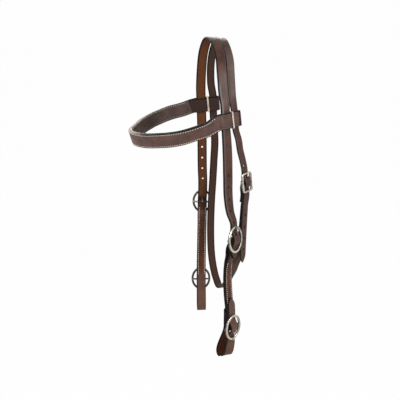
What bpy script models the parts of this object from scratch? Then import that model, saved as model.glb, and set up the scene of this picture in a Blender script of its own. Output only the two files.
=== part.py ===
# Western browband headstall, buckled up as it hangs from a peg.
# Frame: origin under the crown strap at the poll, +X to the horse's left (near side),
# -Y towards the browband, +Z up. Each strap is swept along a line that follows the horse's head.
# In the tables of shares, spread and aft are shares of HALF_SPREAD and of LEG_SWAY or THROAT_AFT.
import bmesh
import bpy
import numpy as np
from math import asin, ceil, cos, hypot, pi, radians, sin, tan

for old in list(bpy.data.objects):
    bpy.data.objects.remove(old)

mm = 0.001

# Leather
LEATHER = 2.7 * mm
LAYER_GAP = 0.35 * mm
CROWN_WIDTH = 15.9 * mm
THROAT_WIDTH = 12.7 * mm
BROW_HEIGHT = 23.5 * mm
STRAP_GAP = 0.8 * mm
TIP_LENGTH = 13.0 * mm
TIP_WIDTH = 1.6 * mm
HOLE_PITCH = 19.05 * mm
HOLE_DIAMETER = 4.0 * mm
CROWN_HOLES = 6
TAIL_HOLES = 4

# How the headstall hangs
HALF_SPREAD = 87.0 * mm
LEG_SWAY = 11.0 * mm
NEAR_TWIST = radians(31.0)
OFF_TWIST = radians(12.0)
NEAR_BAR_DROP = 301.0 * mm
OFF_BAR_DROP = 291.0 * mm
BUCKLE_LEAN = 0.10
BAR_SPACING = 149.0 * mm
LOOP_DROP = 53.0 * mm
LOOP_DEPTH = 23.0 * mm
CROWN_TAIL = 32.0 * mm
BILLET_RISE = 49.0 * mm
CHAPE_TUCK = 26.0 * mm

# Throat strap
THROAT_DROP = 417.0 * mm
THROAT_AFT = 18.0 * mm
THROAT_BAR_DROP = 212.0 * mm
THROAT_LEAN = 0.10
THROAT_TAIL = 134.0 * mm
THROAT_CHAPE = 34.0 * mm
POLL_DIP = 2.0 * mm

# Browband
BROW_DROP = 116.5 * mm
BROW_REACH = 128.5 * mm
BROW_SAG = 30.5 * mm
BROW_LEAN = radians(17.0)
BROW_TILT = 0.06
BROW_RETURN = 9.0 * mm
LOOP_LANE = 5.6 * mm
DIVIDER_ROOM = 2.5 * mm
SLOT_ROOM = 1.1 * mm
SLOT_NOSE = 4.6 * mm
PINCH = 1.9 * mm
LACE_WIDTH = 2.8 * mm
LACE_THICKNESS = 0.9 * mm

# Buckles
OVAL_ROOM = 5.5 * mm
OVAL_HEIGHT = 43.5 * mm
RIM_WIDTH = 3.8 * mm
BOX_ROOM = 0.95 * mm
BOX_HEIGHT = 32.0 * mm
BOX_CORNER = 4.0 * mm
BOX_RIM_WIDTH = 3.2 * mm
RIM_THICKNESS = 3.2 * mm
BAR_RADIUS = 1.6 * mm
BAR_DROP = 3.5 * mm
TONGUE_RADIUS = 1.0 * mm
EYE_START = radians(30.0)
EYE_STOP = radians(305.0)
HUMP_SLOPE = radians(42.0)
HUMP_FILLET = 6.0 * mm

# Fineness of the swept shapes
TRACE_STEP = 1.0 * mm
LEAST_STEP = 0.3 * mm
MAX_STEP = 14.0 * mm
CHORD_SAG = 0.09 * mm
MAX_TURN = radians(15.0)
SMOOTH_ANGLE = radians(32.0)
ARC_TURN = radians(5.0)
TUBE_SIDES = 8
HOLE_SIDES = 12
OVAL_STATIONS = 36
BOX_CORNER_STATIONS = 4
LACE_CORNER_STATIONS = 3
EYE_STATIONS = 15
EASE_STATIONS = 8

PITCH = LEATHER + LAYER_GAP
OVAL_WIDTH = CROWN_WIDTH + 2 * (OVAL_ROOM + RIM_WIDTH)
BOX_WIDTH = THROAT_WIDTH + 2 * (BOX_ROOM + BOX_RIM_WIDTH)
RIM_RISE = LEATHER / 2 + LAYER_GAP + RIM_THICKNESS / 2
BAR_RISE = RIM_RISE - BAR_DROP
FOLD_RADIUS = BAR_RADIUS + LAYER_GAP + LEATHER / 2
CREST_RADIUS = FOLD_RADIUS + PITCH
STRAP_LANE = CROWN_WIDTH / 2 + STRAP_GAP + THROAT_WIDTH / 2
BROW_LANE = CROWN_WIDTH / 2 + LOOP_LANE + THROAT_WIDTH / 2

# Side leg above its upper bar: drop, spread, aft on the near side, aft on the off side, twist,
# with the drop as a share of the bar's own
leg_shares = [
    (0.000, 0.000, 0.00, 0.00, 0.00),
    (0.013, 0.276, 0.00, 0.00, 0.06),
    (0.038, 0.414, 0.00, 0.00, 0.10),
    (0.066, 0.517, 0.00, 0.00, 0.14),
    (0.094, 0.580, -0.03, -0.03, 0.18),
    (0.137, 0.632, -0.09, -0.08, 0.26),
    (0.194, 0.684, -0.09, -0.08, 0.38),
    (0.244, 0.724, -0.09, -0.07, 0.50),
    (0.304, 0.759, -0.03, -0.03, 0.63),
    (0.387, 0.793, 0.07, 0.11, 0.80),
    (0.470, 0.816, 0.16, 0.23, 0.88),
    (0.570, 0.833, 0.24, 0.33, 0.96),
    (0.669, 0.845, 0.31, 0.38, 1.00),
    (0.785, 0.862, 0.38, 0.45, 1.03),
    (0.862, 0.888, 0.68, 0.58, 1.09),
]
# Between the bars: drop over the bar spacing, spread, aft near, aft off, twist
cheek_shares = [
    (0.270, 1.000, 0.60, 0.69, 1.08),
    (0.390, 1.004, 0.46, 0.66, 1.04),
    (0.620, 1.004, 0.57, 0.60, 1.00),
]
# At the upper and the lower bar: spread, aft near, aft off, twist
upper_bar_shares = (0.960, 1.10, 0.67, 1.12)
lower_bar_shares = (1.004, 0.82, 0.56, 1.00)
# Rows along a buckle, as shares of its height from the bar, keep the line straight there
oval_run_share = 0.6
box_run_share = 0.65
straight_shares = (-1.0, -0.5, 0.0, 0.5, 1.0)

# Throat strap over the poll: drop over the browband's drop, shift into the wider browband lane,
# and dip below the crown strap
poll_shares = [
    (0.034, 0.0, 1.0),
    (0.116, 0.0, 0.9),
    (0.243, 0.0, 0.5),
    (0.388, 0.0, 0.2),
    (0.543, 0.1, 0.0),
    (0.700, 0.4, 0.0),
]
# It keeps that lane for a run along the browband's loop, as shares of the browband's height
loop_run_shares = (-0.6, 0.0, 0.6)
# Browband to throat buckle on the near side: drop, spread, aft, twist
near_throat_shares = [(0.310, 0.798, 0.40, 0.80), (0.466, 0.803, 0.53, 0.85), (0.634, 0.807, 0.76, 0.90)]
# At the throat buckle: spread, aft, twist
throat_bar_shares = (0.810, 1.04, 0.90)
# Throat buckle to the lowest point: drop, spread, aft, twist
throat_tail_shares = [
    (0.185, 0.820, 1.04, 0.95),
    (0.273, 0.805, 1.00, 0.95),
    (0.400, 0.772, 0.97, 0.95),
    (0.571, 0.715, 0.97, 0.90),
    (0.654, 0.680, 0.86, 0.80),
    (0.712, 0.625, 0.68, 0.67),
    (0.766, 0.563, 0.54, 0.54),
    (0.813, 0.487, 0.43, 0.40),
    (0.862, 0.400, 0.30, 0.27),
    (0.917, 0.292, 0.19, 0.18),
    (0.969, 0.168, 0.08, 0.09),
    (0.997, 0.035, 0.02, 0.00),
]
# Lowest point up the off side to the browband: drop, spread, aft, twist
off_throat_shares = [
    (1.000, 0.090, 0.01, 0.00),
    (0.988, 0.225, 0.04, 0.10),
    (0.970, 0.345, 0.04, 0.20),
    (0.949, 0.450, 0.06, 0.35),
    (0.910, 0.550, 0.05, 0.50),
    (0.850, 0.640, 0.05, 0.65),
    (0.794, 0.690, 0.07, 0.75),
    (0.674, 0.742, 0.13, 0.80),
    (0.557, 0.769, 0.23, 0.80),
    (0.428, 0.784, 0.38, 0.80),
    (0.318, 0.776, 0.46, 0.80),
    (0.201, 0.755, 0.51, 0.80),
    (0.146, 0.740, 0.44, 0.80),
]
# Browband's widest spread
brow_spread_share = 0.939
# Browband from its near loop to the middle of its front: spread, reach, sag, lean
brow_shares = [
    (0.973, 0.226, 0.230, 0.45),
    (1.000, 0.381, 0.390, 1.00),
    (0.961, 0.537, 0.580, 1.00),
    (0.906, 0.615, 0.662, 1.00),
    (0.814, 0.693, 0.744, 1.00),
    (0.698, 0.770, 0.816, 1.00),
    (0.539, 0.848, 0.905, 1.00),
    (0.343, 0.926, 0.977, 1.00),
    (0.180, 0.978, 0.995, 1.00),
]
# Bit loop: the inner bulge, then the heel, each drop and depth
bulge_shares = [
    (0.15, 0.28), (0.32, 0.675), (0.51, 0.93), (0.68, 0.985), (0.85, 0.80), (0.96, 0.46), (1.00, 0.13),
]
heel_shares = [(0.965, 0.62), (0.90, 0.24), (0.80, 0.03), (0.66, 0.0)]
# Pointed strap end: way from the tip over its length, half width gained over the strap's own
tip_shares = [(0.0, 0.0), (0.25, 0.40), (0.5, 0.70), (0.75, 0.91), (1.0, 1.0)]
# Corner taken off a buckle's rim, of the rim's width
rim_corner_share = 0.28
# Room between the bar and the tongue's eye, of LAYER_GAP
eye_room_share = 0.7
# Room beside the tongue in its slot, of LAYER_GAP
slot_room_share = 1.5
# Straight part of the tongue from the middle of the strap, of LEATHER
shank_share = 1.6
# Drop and radius of the tongue's point, of TONGUE_RADIUS
point_drop_share = 0.3
point_radius_share = 0.7
# Where the throat strap is back on its line under the tail, of THROAT_TAIL
merge_share = 1.5
# Last hole of the tail from the end of its point, of HOLE_PITCH
last_hole_share = 0.5
# Run over which the browband's face closes on the lining, of SLOT_NOSE
nose_run_share = 1.4


def unit(v):
    return v / np.linalg.norm(v)


def smooth_curve(rows, start_tangent=None, end_tangent=None):
    """Dense points of a smooth curve through rows whose first three columns are x, y, z."""
    rows = np.array(rows, float)
    chord = np.linalg.norm(np.diff(rows[:, :3], axis=0), axis=1)
    slope = np.diff(rows, axis=0) / chord[:, None]
    before, after = chord[:-1, None], chord[1:, None]
    tangent = np.empty_like(rows)
    tangent[0], tangent[-1] = slope[0], slope[-1]
    tangent[1:-1] = (slope[:-1] * after + slope[1:] * before) / (before + after)
    if start_tangent is not None:
        tangent[0, :3] = start_tangent
    if end_tangent is not None:
        tangent[-1, :3] = end_tangent
    points, marks = [], []
    for i, h in enumerate(chord):
        count = max(2, ceil(h / TRACE_STEP))
        marks.append(len(points))
        for k in range(count):
            u = k / count
            points.append(
                rows[i] * (2 * u**3 - 3 * u**2 + 1)
                + tangent[i] * h * (u**3 - 2 * u**2 + u)
                + rows[i + 1] * (3 * u**2 - 2 * u**3)
                + tangent[i + 1] * h * (u**3 - u**2)
            )
    marks.append(len(points))
    points.append(rows[-1])
    return np.array(points), marks


def turned(angle):
    """Direction across a strap whose face looks sideways, turned about the vertical."""
    return (-sin(angle), cos(angle), 0.0)


class Line:
    """A line that straps follow. Rows hold a point and the direction across the strap's face."""

    def __init__(self, rows, outward, start_tangent=None, end_tangent=None):
        dense, marks = smooth_curve(rows, start_tangent, end_tangent)
        self.points, self.sides = dense[:, :3], dense[:, 3:]
        gaps = np.linalg.norm(np.diff(self.points, axis=0), axis=1)
        self.reach = np.concatenate([[0.0], np.cumsum(gaps)])
        self.length = self.reach[-1]
        self.row_reach = [self.reach[m] for m in marks]
        self.tangents = np.gradient(self.points, self.reach, axis=0)
        self.outward = outward

    def pick(self, values, d):
        return np.array([np.interp(d, self.reach, values[:, k]) for k in range(3)])

    def frame(self, d):
        """Point, direction along, direction across and direction out at distance d."""
        tangent = unit(self.pick(self.tangents, d))
        beyond = d - min(max(d, 0.0), self.length)
        across = self.pick(self.sides, d)
        across = unit(across - tangent * across.dot(tangent))
        out = np.cross(tangent, across) * self.outward
        return self.pick(self.points, d) + tangent * beyond, tangent, across, out

    def at_drop(self, drop):
        fallen = self.points[0, 2] - self.points[:, 2]
        return float(np.interp(drop, fallen, self.reach))

    def lay(self, pairs, base=0.0):
        """Places (distance, rise) pairs on the line, with long runs filled in."""
        placed = []
        for (d0, n0), (d1, n1) in zip(pairs, pairs[1:]):
            count = max(1, ceil(hypot(d1 - d0, n1 - n0) / TRACE_STEP))
            for k in range(count):
                placed.append(self.place(base + d0 + (d1 - d0) * k / count, n0 + (n1 - n0) * k / count))
        placed.append(self.place(base + pairs[-1][0], pairs[-1][1]))
        return placed

    def place(self, d, n):
        point, _, across, out = self.frame(d)
        return point + out * n, across


def sweep(name, rings, closed=False):
    """One closed body through rings of points, capped at both ends unless it is a loop."""
    bm = bmesh.new()
    made = [[bm.verts.new(tuple(p)) for p in ring] for ring in rings]
    pairs = list(zip(made, made[1:]))
    if closed:
        pairs.append((made[-1], made[0]))
    for a, b in pairs:
        for k in range(len(a)):
            j = (k + 1) % len(a)
            bm.faces.new((a[k], a[j], b[j], b[k]))
    if not closed:
        bm.faces.new(list(reversed(made[0])))
        bm.faces.new(made[-1])
    bmesh.ops.recalc_face_normals(bm, faces=bm.faces)
    return as_object(name, bm)


def as_object(name, bm):
    mesh = bpy.data.meshes.new(name)
    bm.to_mesh(mesh)
    bm.free()
    mesh.shade_smooth()
    mesh.set_sharp_from_angle(angle=SMOOTH_ANGLE)
    piece = bpy.data.objects.new(name, mesh)
    bpy.context.collection.objects.link(piece)
    return piece


class Ribbon:
    """A strap through placed points; distances run from its first end."""

    def __init__(self, placed, width, tips):
        points = np.array([p for p, _ in placed])
        gaps = np.linalg.norm(np.diff(points, axis=0), axis=1)
        fresh = np.concatenate([[True], gaps > LEAST_STEP / 4])
        self.points = points[fresh]
        self.across = np.array([a for _, a in placed])[fresh]
        gaps = np.linalg.norm(np.diff(self.points, axis=0), axis=1)
        self.reach = np.concatenate([[0.0], np.cumsum(gaps)])
        self.length = self.reach[-1]
        self.width = width
        self.tips = tips

    def half_width(self, d):
        half = self.width / 2
        for tip, way in zip(self.tips, (d, self.length - d)):
            if tip and way < TIP_LENGTH:
                share = np.interp(way / TIP_LENGTH, *zip(*tip_shares))
                half = (TIP_WIDTH + share * (self.width - TIP_WIDTH)) / 2
        return half

    def pick(self, values, d):
        return np.array([np.interp(d, self.reach, values[:, k]) for k in range(3)])

    def frame(self, d):
        ahead, behind = min(d + LEAST_STEP, self.length), max(d - LEAST_STEP, 0.0)
        tangent = unit(self.pick(self.points, ahead) - self.pick(self.points, behind))
        across = self.pick(self.across, d)
        across = unit(across - tangent * across.dot(tangent))
        return self.pick(self.points, d), tangent, across, np.cross(across, tangent)

    def nearest(self, target, after=0.0):
        """Distance of the point nearest to target, past the distance after."""
        gaps = np.linalg.norm(self.points - target, axis=1)
        return float(self.reach[np.argmin(np.where(self.reach > after, gaps, np.inf))])

    def stations(self):
        """Distances that keep the bends and skip the straight runs."""
        ahead = np.diff(self.points, axis=0)
        ahead /= np.linalg.norm(ahead, axis=1)[:, None]
        kept, last = [0.0], 0
        for i in range(1, len(ahead)):
            run = self.reach[i] - self.reach[last]
            bend = asin(min(1.0, np.linalg.norm(np.cross(ahead[last], ahead[i]))))
            twist = abs(self.across[i].dot(np.cross(self.across[last], ahead[last])))
            sag = bend * run / 8 + twist * self.width / 4
            if run >= MAX_STEP or sag >= CHORD_SAG or bend >= MAX_TURN:
                kept.append(self.reach[i])
                last = i
        kept.append(self.length)
        for share, _ in tip_shares:
            kept += [share * TIP_LENGTH] * self.tips[0]
            kept += [self.length - share * TIP_LENGTH] * self.tips[1]
        kept.sort()
        spaced = [kept[0]]
        for d in kept[1:]:
            if d - spaced[-1] > LEAST_STEP:
                spaced.append(d)
        spaced[-1] = self.length
        return spaced

    def build(self, name, finish):
        rings = []
        for d in self.stations():
            point, _, across, out = self.frame(d)
            w, t = across * self.half_width(d), out * LEATHER / 2
            rings.append([point + w + t, point - w + t, point - w - t, point + w - t])
        piece = sweep(name, rings)
        piece.data.materials.append(finish)
        return piece


def cut(piece, tool, operation="DIFFERENCE"):
    tool.hide_render = True
    tool.display_type = "WIRE"
    boolean = piece.modifiers.new(tool.name, "BOOLEAN")
    boolean.operation = operation
    boolean.object = tool


def punch(piece, ribbon, distances):
    """Round holes through a strap at distances along it."""
    bm = bmesh.new()
    radius = HOLE_DIAMETER / 2
    for d in distances:
        point, tangent, across, out = ribbon.frame(d)
        made = bmesh.ops.create_cone(
            bm, cap_ends=True, segments=HOLE_SIDES, radius1=radius, radius2=radius, depth=LEATHER * 2
        )
        axes = np.column_stack([across, np.cross(out, across), out])
        for v in made["verts"]:
            v.co = tuple(axes @ np.array(v.co) + point)
    cut(piece, as_object(piece.name + "_punch", bm))


def wire(name, path, origin, ahead, out, side, radii, sides=TUBE_SIDES):
    """Round bar bent in the plane of ahead and out, through (ahead, out) pairs, with mitred bends."""
    path = np.array(path)
    runs = np.diff(path, axis=0)
    runs /= np.linalg.norm(runs, axis=1)[:, None]
    rings = []
    for i, (u, v) in enumerate(path):
        before, after = runs[max(i - 1, 0)], runs[min(i, len(runs) - 1)]
        mean = unit(before + after)
        swell = radii[i] / mean.dot(after)
        ring = []
        for k in range(sides):
            a = 2 * pi * k / sides
            du, dv = -mean[1] * swell * cos(a), mean[0] * swell * cos(a)
            ring.append(origin + ahead * (u + du) + out * (v + dv) + side * radii[i] * sin(a))
        rings.append(ring)
    return sweep(name, rings)


def material(name, colour, roughness, metallic=0.0):
    made = bpy.data.materials.new(name)
    made.use_nodes = True
    shader = made.node_tree.nodes["Principled BSDF"]
    shader.inputs["Base Color"].default_value = (*colour, 1.0)
    shader.inputs["Roughness"].default_value = roughness
    shader.inputs["Metallic"].default_value = metallic
    return made


crown_leather = material("crown_leather", (0.110, 0.058, 0.040), 0.45)
throat_leather = material("throat_leather", (0.080, 0.043, 0.031), 0.50)
cheek_leather = material("cheek_leather", (0.100, 0.050, 0.036), 0.45)
brow_leather = material("brow_leather", (0.120, 0.065, 0.048), 0.42)
lining_leather = material("lining_leather", (0.070, 0.040, 0.030), 0.55)
lace_hide = material("cream_lace", (0.62, 0.55, 0.46), 0.60)
steel = material("stainless_steel", (0.66, 0.63, 0.58), 0.22, 1.0)


# Lines that the straps follow

def leg_line(side, bar_drop, full_twist):
    """Poll to below the bit loop on one side, straight where a buckle lies."""
    rows = []

    def add(drop, spread, near_aft, off_aft, twist, lean=0.0):
        aft = near_aft if side > 0 else off_aft
        x = side * (spread * HALF_SPREAD + lean)
        rows.append((x, aft * LEG_SWAY, LEATHER / 2 - drop, *turned(side * twist * full_twist)))

    run = oval_run_share * OVAL_HEIGHT
    for drop, *place in leg_shares:
        add(drop * bar_drop, *place)
    upper_row = len(rows) + straight_shares.index(0.0)
    for k in straight_shares:
        add(bar_drop + k * run, *upper_bar_shares, lean=k * run * BUCKLE_LEAN)
    for drop, *place in cheek_shares:
        add(bar_drop + drop * BAR_SPACING, *place)
    lower_row = len(rows) + straight_shares.index(0.0)
    for k in straight_shares:
        add(bar_drop + BAR_SPACING + k * run, *lower_bar_shares)
    add(bar_drop + BAR_SPACING + LOOP_DROP, *lower_bar_shares)
    line = Line(rows, side, start_tangent=(side, 0.0, 0.0))
    line.upper_bar, line.lower_bar = line.row_reach[upper_row], line.row_reach[lower_row]
    line.brow = line.at_drop(BROW_DROP)
    return line


near_leg = leg_line(1.0, NEAR_BAR_DROP, NEAR_TWIST)
off_leg = leg_line(-1.0, OFF_BAR_DROP, OFF_TWIST)


def poll_rows(leg):
    """Throat strap beside the crown strap, from the poll to just under the browband loop."""
    rows = []
    for drop, shift, dip in poll_shares:
        point, _, across, _ = leg.frame(leg.at_drop(drop * BROW_DROP))
        x, y, z = point + across * (STRAP_LANE + shift * (BROW_LANE - STRAP_LANE))
        rows.append((x, y, z - dip * POLL_DIP, *across))
    point, down, across, _ = leg.frame(leg.brow)
    for k in loop_run_shares:
        rows.append((*(point + across * BROW_LANE + down * k * BROW_HEIGHT), *across))
    return rows


def make_throat_line():
    """Poll, down the near side, under the jaw, up the off side and back to the poll."""
    top = [(0.0, STRAP_LANE, LEATHER / 2 - POLL_DIP, *turned(0.0))]
    rows = top + poll_rows(near_leg)

    def add(side, drop, spread, aft, twist, lean=0.0):
        y = STRAP_LANE + aft * THROAT_AFT + lean
        full_twist = NEAR_TWIST if side > 0 else OFF_TWIST
        rows.append((side * spread * HALF_SPREAD, y, -drop, *turned(side * twist * full_twist)))

    for drop, *place in near_throat_shares:
        add(1.0, BROW_DROP + drop * (THROAT_BAR_DROP - BROW_DROP), *place)
    bar_row = len(rows) + straight_shares.index(0.0)
    run = box_run_share * BOX_HEIGHT
    for k in straight_shares:
        add(1.0, THROAT_BAR_DROP + k * run, *throat_bar_shares, lean=k * run * THROAT_LEAN)
    for drop, *place in throat_tail_shares:
        add(1.0, THROAT_BAR_DROP + drop * (THROAT_DROP - THROAT_BAR_DROP), *place)
    for drop, *place in off_throat_shares:
        add(-1.0, BROW_DROP + drop * (THROAT_DROP - BROW_DROP), *place)
    rows += list(reversed(poll_rows(off_leg))) + top
    line = Line(rows, 1.0, start_tangent=(1.0, 0.0, 0.0), end_tangent=(1.0, 0.0, 0.0))
    line.bar = line.row_reach[bar_row]
    return line


throat_line = make_throat_line()


# Leather over a buckle's bar, as (distance from the bar, rise above the strap's line)

def arc(centre, radius, start, stop):
    count = max(2, ceil(abs(stop - start) / ARC_TURN))
    angles = [start + (stop - start) * k / count for k in range(count + 1)]
    return [(centre[0] + radius * sin(a), centre[1] + radius * cos(a)) for a in angles]


HUMP_SIDE = (CREST_RADIUS * sin(HUMP_SLOPE), BAR_RISE + CREST_RADIUS * cos(HUMP_SLOPE))
HUMP_FOOT_RISE = HUMP_FILLET * (1 - cos(HUMP_SLOPE))
PIN_DROP = HUMP_SIDE[0] + (HUMP_SIDE[1] - HUMP_FOOT_RISE) / tan(HUMP_SLOPE)
HUMP_REACH = PIN_DROP + HUMP_FILLET * sin(HUMP_SLOPE)


def half_hump(sink=0.0):
    """The crest over the bar down to the strap's flat, for a layer sunk below the top one."""
    crest = arc((0.0, BAR_RISE), CREST_RADIUS - sink, 0.0, HUMP_SLOPE)
    return crest + arc((HUMP_REACH, HUMP_FILLET), HUMP_FILLET + sink, pi + HUMP_SLOPE, pi)


def hump():
    half = half_hump()
    return [(-d, n) for d, n in reversed(half)] + half[1:]


def ease(start, stop):
    """A smooth step from one (distance, rise) to another."""
    shares = [k / EASE_STATIONS for k in range(EASE_STATIONS + 1)]
    return [
        (start[0] + (stop[0] - start[0]) * u, start[1] + (stop[1] - start[1]) * (1 - cos(pi * u)) / 2)
        for u in shares
    ]


def fold(inner_end):
    """Leather folded round the bar: in along the outer layer, round, and out along the inner one."""
    outer = list(reversed(half_hump(sink=PITCH)))
    turn = arc((0.0, BAR_RISE), FOLD_RADIUS, 0.0, -pi)
    inner = ease((0.0, BAR_RISE - FOLD_RADIUS), (HUMP_REACH, -2 * PITCH))
    return outer + turn[1:-1] + inner + [(inner_end, -2 * PITCH)]


def flipped(pairs, base):
    return [(base - d, n) for d, n in pairs]


class Bar:
    """Where a buckle's bar lies; ahead points the way its tongue does."""

    def __init__(self, line, d, way):
        self.flat, along, self.side, self.out = line.frame(d)
        self.ahead = along * way
        self.centre = self.flat + self.out * BAR_RISE


def open_slot(piece, bar):
    """Slot through the fold, where the tongue's eye goes round the bar."""
    width = 2 * (TONGUE_RADIUS + slot_room_share * LAYER_GAP)
    radius = FOLD_RADIUS + LEATHER / 2 + LAYER_GAP / 2
    bm = bmesh.new()
    made = bmesh.ops.create_cone(
        bm, cap_ends=True, segments=2 * HOLE_SIDES, radius1=radius, radius2=radius, depth=width
    )
    axes = np.column_stack([bar.out, np.cross(bar.side, bar.out), bar.side])
    for v in made["verts"]:
        v.co = tuple(axes @ np.array(v.co) + bar.centre)
    cut(piece, as_object(piece.name + "_slot", bm))


# Buckles

def oval_outline():
    a, b = (OVAL_WIDTH - RIM_WIDTH) / 2, (OVAL_HEIGHT - RIM_WIDTH) / 2
    turns = [2 * pi * k / OVAL_STATIONS for k in range(OVAL_STATIONS)]
    return [(a * cos(t), b * sin(t), cos(t) / a, sin(t) / b) for t in turns]


def box_outline():
    a, b = (BOX_WIDTH - BOX_RIM_WIDTH) / 2, (BOX_HEIGHT - BOX_RIM_WIDTH) / 2
    r = BOX_CORNER - BOX_RIM_WIDTH / 2
    points = []
    for quarter, (sx, sy) in enumerate(((1, 1), (-1, 1), (-1, -1), (1, -1))):
        for k in range(BOX_CORNER_STATIONS + 1):
            t = pi / 2 * (quarter + k / BOX_CORNER_STATIONS)
            points.append((sx * (a - r) + r * cos(t), sy * (b - r) + r * sin(t), cos(t), sin(t)))
    return points


def buckle_frame(name, bar, outline, width, rim):
    """Ring in front of the strap, with a bar across it that drops behind the strap."""
    w, t = rim / 2, RIM_THICKNESS / 2
    c = rim * rim_corner_share
    section = [(w, t - c), (w - c, t), (c - w, t), (-w, t - c), (-w, c - t), (c - w, -t), (w - c, -t), (w, c - t)]
    centre = bar.flat + bar.out * RIM_RISE
    rings = []
    for u, v, nu, nv in outline:
        nu, nv = nu / hypot(nu, nv), nv / hypot(nu, nv)
        rings.append([
            centre + bar.side * (u + nu * a) + bar.ahead * (v + nv * a) + bar.out * b for a, b in section
        ])
    frame = sweep(name, rings, closed=True)
    post = (width - rim) / 2
    path = [(-post, RIM_RISE), (-post, BAR_RISE), (post, BAR_RISE), (post, RIM_RISE)]
    radii = [BAR_RADIUS] * len(path)
    core = wire(name + "_bar", path, bar.flat, bar.side, bar.out, bar.ahead, radii, HOLE_SIDES)
    cut(frame, core, "UNION")
    frame.data.materials.append(steel)
    return frame


def tongue(name, bar, height, rim):
    """Wire hooked round the bar, up through the strap's hole and over the rim."""
    hook = BAR_RADIUS + eye_room_share * LAYER_GAP + TONGUE_RADIUS
    over = RIM_RISE + RIM_THICKNESS / 2 + LAYER_GAP + TONGUE_RADIUS
    turns = np.linspace(EYE_START, EYE_STOP, EYE_STATIONS + 1)
    eye = [(hook * cos(a), BAR_RISE + hook * sin(a)) for a in turns]
    slant = np.array((sin(HUMP_SLOPE), cos(HUMP_SLOPE)))
    pin = np.array((PIN_DROP, HUMP_FOOT_RISE))
    shank = [
        pin - slant * LEATHER / 2,
        pin + slant * LEATHER / 2,
        pin + slant * LEATHER * shank_share,
        (height / 2 - rim, over),
        (height / 2 + TONGUE_RADIUS, over - TONGUE_RADIUS * point_drop_share),
    ]
    path = eye + [tuple(p) for p in shank]
    radii = [TONGUE_RADIUS] * (len(path) - 1) + [TONGUE_RADIUS * point_radius_share]
    piece = wire(name, path, bar.flat, bar.ahead, bar.out, bar.side, radii)
    piece.data.materials.append(steel)
    return piece


def buckle(name, bar, outline, width, height, rim):
    frame = buckle_frame(name + "_frame", bar, outline, width, rim)
    pin = tongue(name + "_tongue", bar, height, rim)
    set_origin(pin, bar.centre)
    return frame, pin


# Pivots

def set_origin(piece, point):
    """Moves a piece's origin to a point; its shape stays where it is."""
    for v in piece.data.vertices:
        v.co = tuple(np.array(v.co) - point)
    piece.location = tuple(point)


def pivot(name, point, pieces):
    """An empty at a joint that carries the pieces which move there."""
    empty = bpy.data.objects.new(name, None)
    bpy.context.collection.objects.link(empty)
    empty.location = tuple(point)
    for piece in pieces:
        piece.parent = empty
        piece.location = tuple(np.array(piece.location) - point)
    return empty


# Crown strap, over the poll from one upper buckle to the other

def crown_half(leg):
    return leg.lay([(-leg.upper_bar, 0.0)] + hump() + [(CROWN_TAIL, 0.0)], leg.upper_bar)


def make_crown():
    ribbon = Ribbon(list(reversed(crown_half(near_leg))) + crown_half(off_leg), CROWN_WIDTH, (True, True))
    strap = ribbon.build("crown_strap", crown_leather)
    holes = []
    for leg, way in ((near_leg, 1.0), (off_leg, -1.0)):
        pinned = ribbon.nearest(leg.place(leg.upper_bar - PIN_DROP, HUMP_FOOT_RISE)[0])
        holes += [pinned + way * k * HOLE_PITCH for k in range(CROWN_HOLES)]
    punch(strap, ribbon, holes)
    return strap


crown_strap = make_crown()


# Cheek straps, each one length of leather: round the lower bar, up, round the upper bar,
# down behind, round the bit loop and up through the lower buckle to its tip

def cheek_path(drop):
    stack = 3 * PITCH
    tuck = drop - CHAPE_TUCK
    path = list(reversed(flipped(fold(CHAPE_TUCK), drop)))
    path += fold(tuck - stack)
    path += ease((tuck - stack, -2 * PITCH), (tuck - PITCH, -stack))
    loop = [(drop, -stack, 0.0)]
    loop += [(drop + a * LOOP_DROP, -stack - b * (LOOP_DEPTH - stack), 0.0) for a, b in bulge_shares]
    loop += [(drop + a * LOOP_DROP, -b * stack, 0.0) for a, b in heel_shares]
    path += [(d, n) for d, n, _ in smooth_curve(loop)[0]]
    return path + flipped(hump(), drop) + [(drop - BILLET_RISE, 0.0)]


def make_cheek(side_name, leg):
    upper = Bar(leg, leg.upper_bar, -1.0)
    lower = Bar(leg, leg.lower_bar, 1.0)
    placed = leg.lay(cheek_path(leg.lower_bar - leg.upper_bar), leg.upper_bar)
    ribbon = Ribbon(placed, CROWN_WIDTH, (False, True))
    strap = ribbon.build(side_name + "_cheek_strap", cheek_leather)
    pinned = leg.place(leg.lower_bar + PIN_DROP, HUMP_FOOT_RISE)[0]
    punch(strap, ribbon, [ribbon.nearest(pinned, ribbon.length - BILLET_RISE - HOLE_PITCH)])
    for bar in (upper, lower):
        open_slot(strap, bar)
    oval = (oval_outline(), OVAL_WIDTH, OVAL_HEIGHT, RIM_WIDTH)
    buckle(side_name + "_upper_buckle", upper, *oval)
    frame, pin = buckle(side_name + "_lower_buckle", lower, *oval)
    pivot(side_name + "_cheek_pivot", upper.centre, [strap, frame, pin])
    print(side_name, "upper bar", np.round(upper.centre / mm, 2), "axis", np.round(upper.side, 4))
    print(side_name, "lower bar", np.round(lower.centre / mm, 2), "axis", np.round(lower.side, 4))


make_cheek("near", near_leg)
make_cheek("off", off_leg)


# Throat strap, one length: folded round its buckle's bar, down and under the jaw, up the
# off side, over the poll, down to the buckle again and out in the tail

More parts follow.
